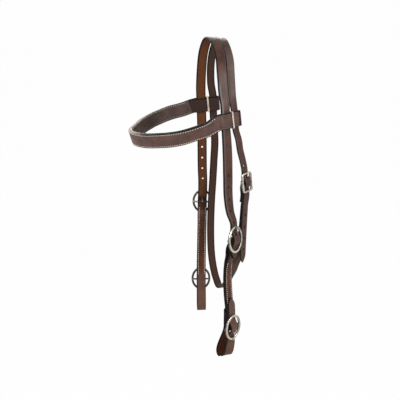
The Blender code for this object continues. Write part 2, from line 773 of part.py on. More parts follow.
def make_throat():
    bar = Bar(throat_line, throat_line.bar, -1.0)
    start = throat_line.bar
    merge = throat_line.length - start
    chape = [(THROAT_CHAPE, -2 * PITCH)] + list(reversed(fold(THROAT_CHAPE)))[1:]
    under = chape + [(THROAT_TAIL, -PITCH), (THROAT_TAIL * merge_share, 0.0), (merge, 0.0)]
    over = [(-start, 0.0)] + hump() + [(THROAT_TAIL, 0.0)]
    placed = throat_line.lay(under, start) + throat_line.lay(over, start)
    ribbon = Ribbon(placed, THROAT_WIDTH, (False, True))
    strap = ribbon.build("throat_strap", throat_leather)
    pinned = throat_line.place(start - PIN_DROP, HUMP_FOOT_RISE)[0]
    spot = ribbon.nearest(pinned, ribbon.length - THROAT_TAIL - HOLE_PITCH)
    holes = [spot - HOLE_PITCH, spot]
    last = ribbon.length - TIP_LENGTH - HOLE_PITCH * last_hole_share
    holes += [last - HOLE_PITCH * k for k in range(TAIL_HOLES)]
    punch(strap, ribbon, holes)
    open_slot(strap, bar)
    buckle("throat_buckle", bar, box_outline(), BOX_WIDTH, BOX_HEIGHT, BOX_RIM_WIDTH)
    print("throat bar", np.round(bar.centre / mm, 2), "axis", np.round(bar.side, 4))


make_throat()


# Browband: the face folds back behind the straps at each end, the lining backs it between

LOOP_RISE = LEATHER + SLOT_ROOM
FOLD_SET_BACK = BROW_LANE + THROAT_WIDTH / 2 - LEATHER / 4
DIVIDER = BROW_LANE - THROAT_WIDTH / 2 - DIVIDER_ROOM


def loop_rows(leg):
    point, down, across, _ = leg.frame(leg.brow)
    rows = []
    for w in (FOLD_SET_BACK, DIVIDER, 0.0, -CROWN_WIDTH / 2 - SLOT_NOSE):
        rows.append((*(point + across * w + down * -w * BROW_TILT), *-down))
    return rows


def arc_rows(side):
    rows = []
    shares = brow_shares if side > 0 else list(reversed(brow_shares))
    for spread, reach, sag, lean in shares:
        x, y = side * spread * brow_spread_share * HALF_SPREAD, -reach * BROW_REACH
        tip = lean * BROW_LEAN
        aim = unit(np.array((side * max(0.0, 1.0 - reach**4), -reach**4, 0.0)))
        up = aim * sin(tip) + np.array((0.0, 0.0, cos(tip)))
        rows.append((x, y, -BROW_DROP - sag * BROW_SAG, *up))
    return rows


def make_brow_line():
    front = [(0.0, -BROW_REACH, -BROW_DROP - BROW_SAG, 0.0, -sin(BROW_LEAN), cos(BROW_LEAN))]
    rows = loop_rows(near_leg) + arc_rows(1.0) + front + arc_rows(-1.0) + list(reversed(loop_rows(off_leg)))
    return Line(rows, -1.0)


brow_line = make_brow_line()


def loop_profile():
    """Face over the throat strap, the divider and the crown strap, then in to the lining."""
    pinch = LEATHER / 2 + PINCH
    divider = FOLD_SET_BACK - DIVIDER
    flat = LACE_WIDTH / 2 + LAYER_GAP
    slope = LOOP_LANE / 2
    nose = FOLD_SET_BACK + CROWN_WIDTH / 2
    profile = [(0.0, LOOP_RISE)]
    profile += ease((divider - flat - slope, LOOP_RISE), (divider - flat, pinch))
    profile += ease((divider + flat, pinch), (divider + flat + slope, LOOP_RISE))
    return profile + ease((nose, LOOP_RISE), (nose + SLOT_NOSE * nose_run_share, PITCH / 2))


def make_browband():
    outside = loop_profile()
    joined = outside[-1][0] + BROW_RETURN
    inside = [(joined, -PITCH / 2)] + [(s, -n) for s, n in reversed(outside)]
    bend = arc((0.0, 0.0), LOOP_RISE, -pi, 0.0)[1:-1]
    near_end = inside + bend + outside
    off_end = list(reversed(flipped(near_end, brow_line.length)))
    face = Ribbon(brow_line.lay(near_end + off_end), BROW_HEIGHT, (False, False))
    front = face.build("browband_face", brow_leather)
    butt = joined + LAYER_GAP
    ends = [(butt, -PITCH / 2), (brow_line.length - butt, -PITCH / 2)]
    lining = Ribbon(brow_line.lay(ends), BROW_HEIGHT, (False, False))
    pieces = [front, lining.build("browband_lining", lining_leather)]
    divider = FOLD_SET_BACK - DIVIDER
    for name, s in (("near", divider), ("off", brow_line.length - divider)):
        pieces.append(binding(name + "_browband_binding", s))
    pivot("browband_slide", brow_line.frame(brow_line.length / 2)[0], pieces)


def binding(name, s):
    """Lace wound round both layers between the two slots."""
    point, along, up, out = brow_line.frame(s)
    inside = LEATHER + PINCH + 2 * LAYER_GAP + LACE_THICKNESS / 2
    edge = BROW_HEIGHT / 2 + LAYER_GAP + LACE_THICKNESS / 2
    radius = LEATHER / 2
    w, t = LACE_WIDTH / 2, LACE_THICKNESS / 2
    rings = []
    for quarter, (sx, sy) in enumerate(((1, 1), (-1, 1), (-1, -1), (1, -1))):
        for k in range(LACE_CORNER_STATIONS + 1):
            a = pi / 2 * (quarter + k / LACE_CORNER_STATIONS)
            n = sx * (inside - radius) + radius * cos(a)
            h = sy * (edge - radius) + radius * sin(a)
            radial = out * cos(a) + up * sin(a)
            centre = point + out * n + up * h
            rings.append([centre + along * p + radial * q for p, q in ((w, t), (-w, t), (-w, -t), (w, -t))])
    piece = sweep(name, rings, closed=True)
    piece.data.materials.append(lace_hide)
    return piece


make_browband()
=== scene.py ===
"""Western browband headstall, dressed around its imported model, as it hangs from a peg."""
from math import asin, ceil, cos, hypot, pi, radians, sin

import bmesh
import bpy
import numpy as np
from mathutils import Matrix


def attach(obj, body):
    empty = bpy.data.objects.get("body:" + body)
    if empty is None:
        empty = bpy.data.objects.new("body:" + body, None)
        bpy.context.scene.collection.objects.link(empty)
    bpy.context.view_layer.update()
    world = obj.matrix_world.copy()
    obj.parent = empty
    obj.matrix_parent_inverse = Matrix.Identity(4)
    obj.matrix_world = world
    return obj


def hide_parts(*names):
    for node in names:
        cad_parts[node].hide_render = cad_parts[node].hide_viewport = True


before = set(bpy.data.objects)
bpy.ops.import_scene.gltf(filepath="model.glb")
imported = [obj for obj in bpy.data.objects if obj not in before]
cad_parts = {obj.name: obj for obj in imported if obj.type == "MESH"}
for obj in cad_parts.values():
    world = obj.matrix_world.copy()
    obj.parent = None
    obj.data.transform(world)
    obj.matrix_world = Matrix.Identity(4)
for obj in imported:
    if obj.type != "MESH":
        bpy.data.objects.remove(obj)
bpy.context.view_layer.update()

mm = 0.001


# Crown strap: one length of chestnut harness leather over the poll, from one upper buckle to the
# other. Its edges are rounded and burnished dark, with a crease pressed in beside each. The punched
# holes that were never used have nearly closed up.

LEATHER = 2.7 * mm
LAYER_GAP = 0.35 * mm
PITCH = LEATHER + LAYER_GAP
CROWN_WIDTH = 15.9 * mm
CROWN_TAIL = 32.0 * mm
CROWN_HOLES = 6
HOLE_PITCH = 19.05 * mm
HOLE_DIAMETER = 4.0 * mm
PINNED_WAIST = 0.05 * mm
OPEN_WAIST = 0.45 * mm
CLOSED_WAIST = 1.85 * mm
# On the near side every hole past the pinned one has closed up, and on the off side only the first
OFF_OPEN_FROM = 2
# How far a hole is narrowed (-) or flared (+), in waists, from its flesh end to its grain end; the
# places are in half thicknesses of the leather, and pass it at both ends
hole_shape = [
    (-2.0, 0.1), (-1.06, 0.0), (-0.9, -0.4), (-0.75, -1.0),
    (-0.6, -1.0), (-0.45, -0.1), (1.06, 0.1), (2.0, 0.1),
]
HOLE_TURNS = 24
TIP_LENGTH = 13.0 * mm
TIP_WIDTH = 1.6 * mm
tip_shares = [(0.0, 0.0), (0.25, 0.40), (0.5, 0.70), (0.75, 0.91), (1.0, 1.0)]
EDGE_ROUND = 1.0 * mm
CREASE_SET_IN = 1.75 * mm
CREASE_HALF = 0.45 * mm
CREASE_DEPTH = 0.22 * mm
FRONT_EDGE = 5.8 * mm
LEAST_STEP = 0.3 * mm
PLAIN_STEP = 2.0 * mm
SEWN_STEP = 0.85 * mm
MAX_TURN = radians(7.0)
ARC_STEP = radians(5.0)
EASE_STEPS = 12
# A paler grey-brown, painted as a highlight on the raised border outside each crease
BORDER_HIGHLIGHT = (0.20, 0.15, 0.135)

# How a strap end rises over a buckle's bar
RIM_THICKNESS = 3.2 * mm
BAR_RADIUS = 1.6 * mm
BAR_DROP = 3.5 * mm
PIN_DROP = 7.6 * mm
OVAL_REACH = 15.8 * mm
RIM_RISE = LEATHER / 2 + LAYER_GAP + RIM_THICKNESS / 2
BAR_RISE = RIM_RISE - BAR_DROP
FOLD_RADIUS = BAR_RADIUS + LAYER_GAP + LEATHER / 2
CREST_RADIUS = FOLD_RADIUS + PITCH

# Each side's line from the poll to below the bit loop, in mm, and the level direction across the strap
near_leg_rows = [
    (0, -0.8, 1.35, 0, 1),
    (24.01, -1.9, -2.56, -0.01, 0.9999),
    (36.02, -1.7, -10.09, -0.02, 0.9998),
    (44.98, -1.3, -18.52, -0.03, 0.9995),
    (50.46, -1.4, -26.94, -0.035, 0.9994),
    (54.98, -1.6, -39.89, -0.035, 0.9994),
    (59.51, -1.3, -57.04, -0.035, 0.9994),
    (62.99, -1, -72.09, -0.035, 0.9994),
    (66.03, 0.9, -90.15, -0.1908, 0.9816),
    (68.99, 0.77, -115.14, -0.3746, 0.9272),
    (70.99, 2.4, -140.12, -0.2419, 0.9703),
    (72.47, 3.8, -170.22, -0.139, 0.9903),
    (73.52, 4.3, -200.02, -0.156, 0.9877),
    (74.99, 5.1, -234.94, -0.2588, 0.9659),
    (77.26, 7.9, -258.11, -0.4226, 0.9063),
    (80.91, 12.1, -273.55, -0.5696, 0.8219),
    (82.22, 12.1, -286.6, -0.5696, 0.8219),
    (83.52, 12.1, -299.65, -0.5696, 0.8219),
    (84.83, 12.1, -312.7, -0.5696, 0.8219),
    (86.13, 12.1, -325.75, -0.5696, 0.8219),
    (87, 6.6, -339.88, -0.5516, 0.8341),
    (87.35, 5.06, -357.76, -0.5335, 0.8458),
    (87.35, 6.27, -392.03, -0.515, 0.8572),
    (87.35, 9.02, -422.55, -0.515, 0.8572),
    (87.35, 9.02, -435.6, -0.515, 0.8572),
    (87.35, 9.02, -448.65, -0.515, 0.8572),
    (87.35, 9.02, -461.7, -0.515, 0.8572),
    (87.35, 8.0, -474.75, -0.515, 0.8572),
    (87.35, 3.8, -501.65, -0.515, 0.8572),
]
off_leg_rows = [
    (0, -0.8, 1.35, 0, 1),
    (-24.01, 0, -2.43, 0.0126, 0.9999),
    (-36.02, 0, -9.71, 0.0209, 0.9998),
    (-44.98, 0, -17.86, 0.0293, 0.9996),
    (-50.46, -0.33, -26, 0.0377, 0.9993),
    (-54.98, -0.88, -38.52, 0.0544, 0.9985),
    (-59.51, -0.88, -55.1, 0.0795, 0.9968),
    (-62.99, -0.77, -69.65, 0.1045, 0.9945),
    (-66.03, -0.33, -87.11, 0.1316, 0.9913),
    (-68.99, 1.21, -111.27, 0.1668, 0.986),
    (-70.99, 2.53, -135.42, 0.1833, 0.9831),
    (-72.47, 3.63, -164.52, 0.1997, 0.9799),
    (-73.52, 4.18, -193.33, 0.2079, 0.9781),
    (-74.99, 4.95, -227.09, 0.2141, 0.9768),
    (-77.26, 6.38, -249.49, 0.2263, 0.9741),
    (-80.91, 7.37, -263.55, 0.2324, 0.9726),
    (-82.22, 7.37, -276.6, 0.2324, 0.9726),
    (-83.52, 7.37, -289.65, 0.2324, 0.9726),
    (-84.83, 7.37, -302.7, 0.2324, 0.9726),
    (-86.13, 7.37, -315.75, 0.2324, 0.9726),
    (-87, 7.59, -329.88, 0.2243, 0.9745),
    (-87.35, 7.26, -347.76, 0.2161, 0.9764),
    (-87.35, 6.6, -382.03, 0.2079, 0.9781),
    (-87.35, 6.16, -412.55, 0.2079, 0.9781),
    (-87.35, 6.16, -425.6, 0.2079, 0.9781),
    (-87.35, 6.16, -438.65, 0.2079, 0.9781),
    (-87.35, 6.16, -451.7, 0.2079, 0.9781),
    (-87.35, 6.16, -464.75, 0.2079, 0.9781),
    (-87.35, 6.16, -491.65, 0.2079, 0.9781),
]
UPPER_BAR_ROW = 17
LOWER_BAR_ROW = 25


def unit(v):
    return v / np.linalg.norm(v)


def turns(count):
    return [2 * pi * k / count for k in range(count)]


def reach_of(points):
    """Distance of each point from the first, along the run of points."""
    gaps = np.linalg.norm(np.diff(points, axis=0), axis=1)
    return np.concatenate([[0.0], np.cumsum(gaps)])


def pick(values, reach, d):
    return np.array([np.interp(d, reach, values[:, k]) for k in range(3)])


def smooth_curve(rows, start_tangent=None, end_tangent=None):
    """Points about 1 mm apart on a smooth curve through the rows, and where each row is in them."""
    rows = np.array(rows, float)
    chord = np.linalg.norm(np.diff(rows[:, :3], axis=0), axis=1)
    slope = np.diff(rows, axis=0) / chord[:, None]
    before, after = chord[:-1, None], chord[1:, None]
    tangent = np.empty_like(rows)
    tangent[0], tangent[-1] = slope[0], slope[-1]
    tangent[1:-1] = (slope[:-1] * after + slope[1:] * before) / (before + after)
    if start_tangent is not None:
        tangent[0, :3] = start_tangent
    if end_tangent is not None:
        tangent[-1, :3] = end_tangent
    points, marks = [], []
    for i, h in enumerate(chord):
        count = max(2, ceil(h / mm))
        marks.append(len(points))
        for u in np.arange(count) / count:
            points.append(
                rows[i] * (2 * u**3 - 3 * u**2 + 1)
                + tangent[i] * h * (u**3 - 2 * u**2 + u)
                + rows[i + 1] * (3 * u**2 - 2 * u**3)
                + tangent[i + 1] * h * (u**3 - u**2)
            )
    marks.append(len(points))
    points.append(rows[-1])
    return np.array(points), marks


def in_metres(rows):
    """Rows in mm to metres; a direction across that is given by two numbers lies level."""
    return [tuple(v * mm for v in row[:3]) + tuple(row[3:]) + (0.0,) * (6 - len(row)) for row in rows]


class Line:
    """A line that straps follow. Rows hold a point and the direction across the strap's face."""

    def __init__(self, rows, outward, start_tangent=None, end_tangent=None):
        dense, marks = smooth_curve(rows, start_tangent, end_tangent)
        self.points, self.sides = dense[:, :3], dense[:, 3:]
        self.reach = reach_of(self.points)
        self.length = self.reach[-1]
        self.row_reach = [self.reach[m] for m in marks]
        self.tangents = np.gradient(self.points, self.reach, axis=0)
        self.outward = outward

    def frame(self, d):
        """Point, direction along, direction across and direction out at distance d."""
        tangent = unit(pick(self.tangents, self.reach, d))
        beyond = d - min(max(d, 0.0), self.length)
        across = pick(self.sides, self.reach, d)
        across = unit(across - tangent * across.dot(tangent))
        out = np.cross(tangent, across) * self.outward
        return pick(self.points, self.reach, d) + tangent * beyond, tangent, across, out

    def place(self, d, n):
        point, _, across, out = self.frame(d)
        return point + out * n, across

    def lay(self, pairs, base=0.0):
        """Places (distance, rise) pairs on the line, with long runs filled in."""
        placed = []
        for (d0, n0), (d1, n1) in zip(pairs, pairs[1:]):
            count = max(1, ceil(hypot(d1 - d0, n1 - n0) / mm))
            for k in range(count):
                placed.append(self.place(base + d0 + (d1 - d0) * k / count, n0 + (n1 - n0) * k / count))
        placed.append(self.place(base + pairs[-1][0], pairs[-1][1]))
        return placed


class Strap:
    """Leather laid through placed points; distances run from its first end, grain picks its face."""

    def __init__(self, placed, width, tips=(False, False), grain=1.0):
        points = np.array([p for p, _ in placed])
        gaps = np.linalg.norm(np.diff(points, axis=0), axis=1)
        fresh = np.concatenate([[True], gaps > LEAST_STEP / 4])
        self.points = points[fresh]
        self.across = np.array([a for _, a in placed])[fresh]
        self.reach = reach_of(self.points)
        self.length = self.reach[-1]
        self.width, self.tips, self.grain = width, tips, grain

    def half_width(self, d):
        half = self.width / 2
        for tip, way in zip(self.tips, (d, self.length - d)):
            if tip and way < TIP_LENGTH:
                share = np.interp(way / TIP_LENGTH, *zip(*tip_shares))
                half = (TIP_WIDTH + share * (self.width - TIP_WIDTH)) / 2
        return half

    def frame(self, d):
        """Point, direction along, direction across and the grain's direction at distance d."""
        ahead, behind = min(d + LEAST_STEP, self.length), max(d - LEAST_STEP, 0.0)
        tangent = unit(pick(self.points, self.reach, ahead) - pick(self.points, self.reach, behind))
        across = pick(self.across, self.reach, d)
        across = unit(across - tangent * across.dot(tangent))
        return pick(self.points, self.reach, d), tangent, across, np.cross(across, tangent) * self.grain

    def nearest(self, target, after=0.0):
        """Distance of the point nearest to target, past the distance after."""
        gaps = np.linalg.norm(self.points - target, axis=1)
        return float(self.reach[np.argmin(np.where(self.reach > after, gaps, np.inf))])

    def stations(self, step):
        """Distances at most a step apart, closer in the bends and at the tips."""
        ahead = np.diff(self.points, axis=0)
        ahead /= np.linalg.norm(ahead, axis=1)[:, None]
        kept, last = [0.0], 0
        for i in range(1, len(ahead)):
            bend = asin(min(1.0, np.linalg.norm(np.cross(ahead[last], ahead[i]))))
            if self.reach[i] - self.reach[last] >= step - LEAST_STEP or bend >= MAX_TURN:
                kept.append(self.reach[i])
                last = i
        for share in np.linspace(0.0, 1.0, 14):
            kept += [share**2 * TIP_LENGTH] * self.tips[0]
            kept += [self.length - share**2 * TIP_LENGTH] * self.tips[1]
        spaced = [0.0]
        for d in sorted(kept + [self.length]):
            if d - spaced[-1] > LEAST_STEP:
                spaced.append(d)
        spaced[-1] = self.length
        return spaced


def hide_section(half, creases):
    """Ring of (across, out, rim, flesh) round a strap: 1 for rim at an edge, 1 for flesh inside."""
    thick = LEATHER / 2
    ring = []
    grain = [(0.0, 0.0, 0.0), (half * 0.25, 0.0, 0.0)]
    for set_in, half_wide, depth in reversed(creases):
        near = min(1.0, half * 0.55 / set_in)
        bend = min(EDGE_ROUND, set_in * near * 0.55)
        x = half - set_in * near
        wide, deep = half_wide * near, depth * near
        grain += [(x - wide * 1.6, 0.0, 0.10), (x - wide * 0.7, deep * 0.6, 0.2), (x, deep, 0.35)]
        grain += [(x + wide * 0.7, deep * 0.6, 0.45), (x + wide * 1.6, 0.0, 0.55)]
    grain.append((half - bend, 0.0, 0.8))
    for x, dip, rim in grain:
        ring.append((x, thick - dip, rim, 0.0))
    for a in (62.0, 40.0, 15.0, -15.0, -40.0, -62.0):
        c, s = cos(radians(a)), sin(radians(a))
        ring.append((half - bend + bend * c, thick * s, 1.0, 0.3 if s > 0 else 0.6))
    ring += [(half - bend, -thick, 0.9, 1.0), (half - bend * 1.9, -thick, 0.75, 1.0)]
    ring += [(half - bend * 2.8, -thick, 0.15, 1.0), (half * 0.3, -thick, 0.0, 1.0)]
    left = [(-x, n, rim, flesh) for x, n, rim, flesh in reversed(ring[1:])]
    return ring + [(0.0, -thick, 0.0, 1.0)] + left


def tag(mesh, name, values):
    mesh.attributes.new(name, "FLOAT", "POINT").data.foreach_set("value", np.array(values, np.float32))


def finish_mesh(name, bm, material, angle=40.0):
    mesh = bpy.data.meshes.new(name)
    bm.to_mesh(mesh)
    bm.free()
    mesh.shade_smooth()
    mesh.set_sharp_from_angle(angle=radians(angle))
    mesh.materials.append(material)
    piece = bpy.data.objects.new(name, mesh)
    bpy.context.collection.objects.link(piece)
    return piece


def skin(bm, rings, closed=False):
    """Faces over rings of points, with a cap at both ends unless they close."""
    made = [[bm.verts.new(tuple(p)) for p in ring] for ring in rings]
    pairs = list(zip(made, made[1:]))
    if closed:
        pairs.append((made[-1], made[0]))
    for a, b in pairs:
        for k in range(len(a)):
            j = (k + 1) % len(a)
            bm.faces.new((a[k], a[j], b[j], b[k]))
    if not closed:
        bm.faces.new(list(reversed(made[0])))
        bm.faces.new(made[-1])
    bmesh.ops.recalc_face_normals(bm, faces=bm.faces)


PLAIN_CREASES = [(CREASE_SET_IN, CREASE_HALF, CREASE_DEPTH)]


def cut_strap(name, strap, material, step=PLAIN_STEP, creases=None):
    """Mesh of a strap with rounded edges and pressed creases."""
    bm = bmesh.new()
    rings, rims, fleshes, alongs, sides = [], [], [], [], []
    for d in strap.stations(step):
        point, _, across, out = strap.frame(d)
        ring = []
        for x, n, rim, flesh in hide_section(strap.half_width(d), creases or PLAIN_CREASES):
            if strap.length - d < LEAST_STEP or d < LEAST_STEP:
                rim = 1.0
            ring.append(point + across * x + out * n)
            rims.append(rim)
            fleshes.append(flesh)
            alongs.append(d)
            sides.append(x)
        rings.append(ring)
    skin(bm, rings)
    piece = finish_mesh(name, bm, material)
    for key, values in (("rim", rims), ("flesh", fleshes), ("along", alongs), ("side", sides)):
        tag(piece.data, key, values)
    return piece


def on_grain(rim, flesh):
    """1 on the grain face inside the burnished edges."""
    return (flesh < 0.2) * (rim < 0.6)


def paint(piece, rule):
    """Sets, point by point, how black the edges and any painted shade are (rim), and how far the face is
    painted pale.
    """
    seen = {}
    for key in ("rim", "flesh", "along", "side"):
        seen[key] = np.zeros(len(piece.data.vertices), np.float32)
        piece.data.attributes[key].data.foreach_get("value", seen[key])
    rim, painted_pale = rule(**seen)
    piece.data.attributes["rim"].data.foreach_set("value", rim.astype(np.float32))
    tag(piece.data, "painted_pale", painted_pale)


def carve(piece, tool, operation="DIFFERENCE"):
    """Cuts or joins tool, and takes the tool away."""
    bpy.context.view_layer.update()
    joined = piece.modifiers.new(operation, "BOOLEAN")
    joined.operation = operation
    joined.object = tool
    joined.solver = "EXACT"
    shown = piece.evaluated_get(bpy.context.evaluated_depsgraph_get())
    mesh = bpy.data.meshes.new_from_object(shown)
    piece.modifiers.clear()
    piece.data = mesh
    bpy.data.objects.remove(tool)


def cut_black(piece, bm):
    """Cuts a shape out of a strap and paints the walls of the cut black, as painted shade inside it."""
    tool = finish_mesh("cut", bm, piece.data.materials[0])
    for key, value in (("rim", 1.0), ("flesh", 0.0), ("along", 0.0), ("side", 0.0)):
        tag(tool.data, key, [value] * len(tool.data.vertices))
    carve(piece, tool)


def ring_round(centre, u, v, radius, count):
    return [centre + (u * cos(a) + v * sin(a)) * radius for a in turns(count)]


def punch(piece, strap, distances, waist):
    """Round holes, narrowed by the waist near the flesh side."""
    bm = bmesh.new()
    for d in distances:
        point, _, across, out = strap.frame(d)
        along = np.cross(out, across)
        rings = []
        for n, share in hole_shape:
            radius = HOLE_DIAMETER / 2 + share * waist
            rings.append(ring_round(point + out * n * LEATHER / 2, across, along, radius, HOLE_TURNS))
        skin(bm, rings)
    cut_black(piece, bm)


def darker(colour, share):
    return tuple(c * share for c in colour)


class Finish:
    """Builds a material's nodes: add() makes one, with its inputs set or linked by name or place."""

    def __init__(self, name):
        self.material = bpy.data.materials.new(name)
        self.material.use_nodes = True
        self.tree = self.material.node_tree
        self.shader = self.tree.nodes["Principled BSDF"]

    def add(self, kind, inputs, output=0, **settings):
        made = self.tree.nodes.new("ShaderNode" + kind)
        for key, value in settings.items():
            setattr(made, key, value)
        self.join(made, inputs)
        return made.outputs[output]

    def join(self, made, inputs):
        for key, value in inputs.items():
            if isinstance(value, bpy.types.NodeSocket):
                self.tree.links.new(value, made.inputs[key])
            elif isinstance(value, tuple) and len(value) == 3 and made.inputs[key].type == "RGBA":
                made.inputs[key].default_value = (*value, 1.0)
            else:
                made.inputs[key].default_value = value

    def mix(self, share, a, b, blend="MIX"):
        return self.add("Mix", {0: share, 6: a, 7: b}, 2, data_type="RGBA", blend_type=blend)

    def attribute(self, name):
        return self.add("Attribute", {}, 2, attribute_name=name)

    def noise(self, scale, detail, vector=None, roughness=0.6):
        inputs = {"Vector": vector or self.place, "Scale": scale, "Detail": detail, "Roughness": roughness}
        return self.add("TexNoise", inputs)

    def spread(self, value, low, high, new_low=0.0, new_high=1.0):
        inputs = {"Value": value, 1: low, 2: high, 3: new_low, 4: new_high}
        return self.add("MapRange", inputs, interpolation_type="SMOOTHSTEP")

    def sums(self, operation, *values):
        return self.add("Math", dict(enumerate(values)), operation=operation)


def hide(name, face, second, flesh, rim=(0.005, 0.004, 0.004), wear_and_sheen=0.8, pale=(0.22, 0.175, 0.16)):
    """Waxed strap leather: warmer middle, darker borders with a painted highlight, burnished rims, bare
    flesh.
    """
    made = Finish(name)
    made.place = made.add("TexCoord", {}, 3)
    mottle = made.noise(75.0, 5.0)
    blotch = made.noise(18.0, 3.0)
    grain = made.add("TexVoronoi", {"Vector": made.place, "Scale": 1100.0}, feature="DISTANCE_TO_EDGE")
    pores = made.noise(1500.0, 3.0)
    fibre = made.noise(650.0, 4.0, roughness=0.75)
    edge, inside = made.attribute("rim"), made.attribute("flesh")
    along = made.sums("MULTIPLY", made.attribute("along"), 14.0)
    side = made.sums("MULTIPLY", made.attribute("side"), 420.0)
    streak = made.noise(1.0, 4.0, made.add("CombineXYZ", {0: along, 1: side, 2: blotch}))
    deep = darker(second, 0.45)
    colour = made.mix(made.spread(mottle, 0.38, 0.64), face, second)
    colour = made.mix(made.spread(streak, 0.42, 0.68, 0.0, 0.55), colour, second)
    colour = made.mix(made.spread(edge, 0.02, 0.3, 0.0, 0.55), colour, second)
    colour = made.mix(made.spread(blotch, 0.5, 0.75, 0.0, 0.45), colour, deep)
    colour = made.mix(made.spread(pores, 0.55, 0.70, 0.0, 0.4), colour, deep)
    # Painted highlight on the raised border beside each crease, as strong as the strap asks
    border = made.sums("MULTIPLY", made.spread(edge, 0.38, 0.5), made.spread(edge, 0.74, 0.62))
    border = made.sums("MULTIPLY", border, made.spread(streak, 0.3, 0.6, 0.35, 0.9))
    colour = made.mix(made.sums("MULTIPLY", border, wear_and_sheen), colour, BORDER_HIGHLIGHT)
    flesh_and_shade = made.mix(made.spread(fibre, 0.35, 0.7), flesh, darker(flesh, 0.6))
    flesh_and_shade = made.mix(made.spread(streak, 0.4, 0.7, 0.0, 0.5), flesh_and_shade, darker(flesh, 0.55))
    colour = made.mix(made.spread(inside, 0.35, 0.9), colour, flesh_and_shade)
    colour = made.mix(made.spread(edge, 0.62, 0.82, 0.0, 0.97), colour, rim)
    # Colour painted pale where a strap's rule asks, mostly as painted highlights
    pale_share = made.sums("MULTIPLY", made.attribute("painted_pale"), made.spread(streak, 0.25, 0.65, 0.65, 1.0))
    colour = made.mix(pale_share, colour, pale)
    height = made.sums("MULTIPLY", made.spread(grain, 0.0, 0.14), 0.5)
    height = made.sums("ADD", height, made.sums("MULTIPLY", pores, 0.6))
    height = made.sums("ADD", height, made.sums("MULTIPLY", fibre, made.spread(inside, 0.4, 0.9, 0.0, 1.2)))
    bump = made.add("Bump", {"Strength": 0.3, "Distance": 0.12 * mm, "Height": height})
    rough = made.spread(mottle, 0.3, 0.7, 0.36, 0.52)
    rough = made.sums("ADD", rough, made.spread(inside, 0.4, 0.9, 0.0, 0.3))
    made.join(made.shader, {
        "Base Color": colour, "Roughness": rough, "Normal": bump,
        "Coat Weight": 0.02, "Coat Roughness": 0.3, "Specular IOR Level": 0.12,
    })
    return made.material


def arc(centre, radius, start, stop):
    """(distance, rise) pairs on an arc, its angles counted from straight out."""
    count = max(2, ceil(abs(stop - start) / ARC_STEP))
    angles = [start + (stop - start) * k / count for k in range(count + 1)]
    return [(centre[0] + radius * sin(a), centre[1] + radius * cos(a)) for a in angles]


class Hump:
    """Smooth rise of a strap over a buckle's bar, down to its flat at a reach either side."""

    def __init__(self, reach):
        self.reach = reach
        self.crest = BAR_RISE + CREST_RADIUS
        self.pin = (PIN_DROP, self.rise(PIN_DROP))
        self.slant = self.normal(PIN_DROP)

    def rise(self, d):
        return self.crest * (1 + cos(pi * d / self.reach)) / 2

    def normal(self, d):
        slope = -self.crest * pi / self.reach * sin(pi * d / self.reach) / 2
        return np.array((-slope, 1.0)) / hypot(slope, 1.0)

    def half(self, sink=0.0):
        """(distance, rise) pairs from the crest to the flat, for a layer sunk below the top one."""
        pairs = []
        for d in np.linspace(0.0, self.reach, 25):
            along, out = self.normal(d)
            pairs.append((d - along * sink, self.rise(d) - out * sink))
        return pairs

    def whole(self):
        half = self.half()
        return [(-d, n) for d, n in reversed(half)] + half[1:]

    def fold(self, inner_end, slack=0.0):
        """Leather folded round the bar: in along the outer layer, round, and out along the inner one."""
        turn = arc((0.0, BAR_RISE), FOLD_RADIUS, 0.0, -pi)
        start, flat = (0.0, BAR_RISE - FOLD_RADIUS), (self.reach, -2 * PITCH)
        inner = ease(start, flat)
        inner += [(self.reach * k / EASE_STEPS, flat[1]) for k in range(EASE_STEPS + 1, 3 * EASE_STEPS)]
        inner = [(d, n - slack * sin(pi * d / self.reach / 3) ** 2) for d, n in inner if d < inner_end]
        return list(reversed(self.half(PITCH))) + turn[1:-1] + inner + [(inner_end, -2 * PITCH)]


def ease(start, stop):
    """A smooth step from one (distance, rise) to another."""
    shares = [k / EASE_STEPS for k in range(EASE_STEPS + 1)]
    return [
        (start[0] + (stop[0] - start[0]) * u, start[1] + (stop[1] - start[1]) * (1 - cos(pi * u)) / 2)
        for u in shares
    ]


def side_line(rows, side):
    line = Line(in_metres(rows), side, start_tangent=(side, 0.0, 0.0))
    line.upper_bar = line.row_reach[UPPER_BAR_ROW]
    line.lower_bar = line.row_reach[LOWER_BAR_ROW]
    return line


near_leg = side_line(near_leg_rows, 1.0)
off_leg = side_line(off_leg_rows, -1.0)
oval_hump = Hump(OVAL_REACH)
# Crown leather; its pale colour is that of the painted highlights
crown_hide = hide(
    "crown_leather", (0.101, 0.045, 0.031), (0.060, 0.031, 0.024), (0.135, 0.047, 0.016),
    pale=(0.28, 0.23, 0.215),
)


def crown_half(leg):
    """From the poll down one side, over the bar and on to the tip."""
    return leg.lay([(-leg.upper_bar, 0.0)] + oval_hump.whole() + [(CROWN_TAIL, 0.0)], leg.upper_bar)


crown = Strap(list(reversed(crown_half(near_leg))) + crown_half(off_leg), CROWN_WIDTH, (True, True))
crown_piece = cut_strap("crown_strap_leather", crown, crown_hide)
for leg, way, open_from in ((near_leg, 1.0, CROWN_HOLES), (off_leg, -1.0, OFF_OPEN_FROM)):
    pinned = crown.nearest(leg.place(leg.upper_bar - PIN_DROP, oval_hump.pin[1])[0])
    holes = [pinned + way * k * HOLE_PITCH for k in range(CROWN_HOLES)]
    punch(crown_piece, crown, holes[1:open_from], CLOSED_WAIST)
    if holes[open_from:]:
        punch(crown_piece, crown, holes[open_from:], OPEN_WAIST)
    punch(crown_piece, crown, holes[:1], PINNED_WAIST)


def graded(values, places, amounts):
    """Amounts at places given in mm, and evenly between them."""
    return np.interp(values, np.array(places) * mm, amounts)


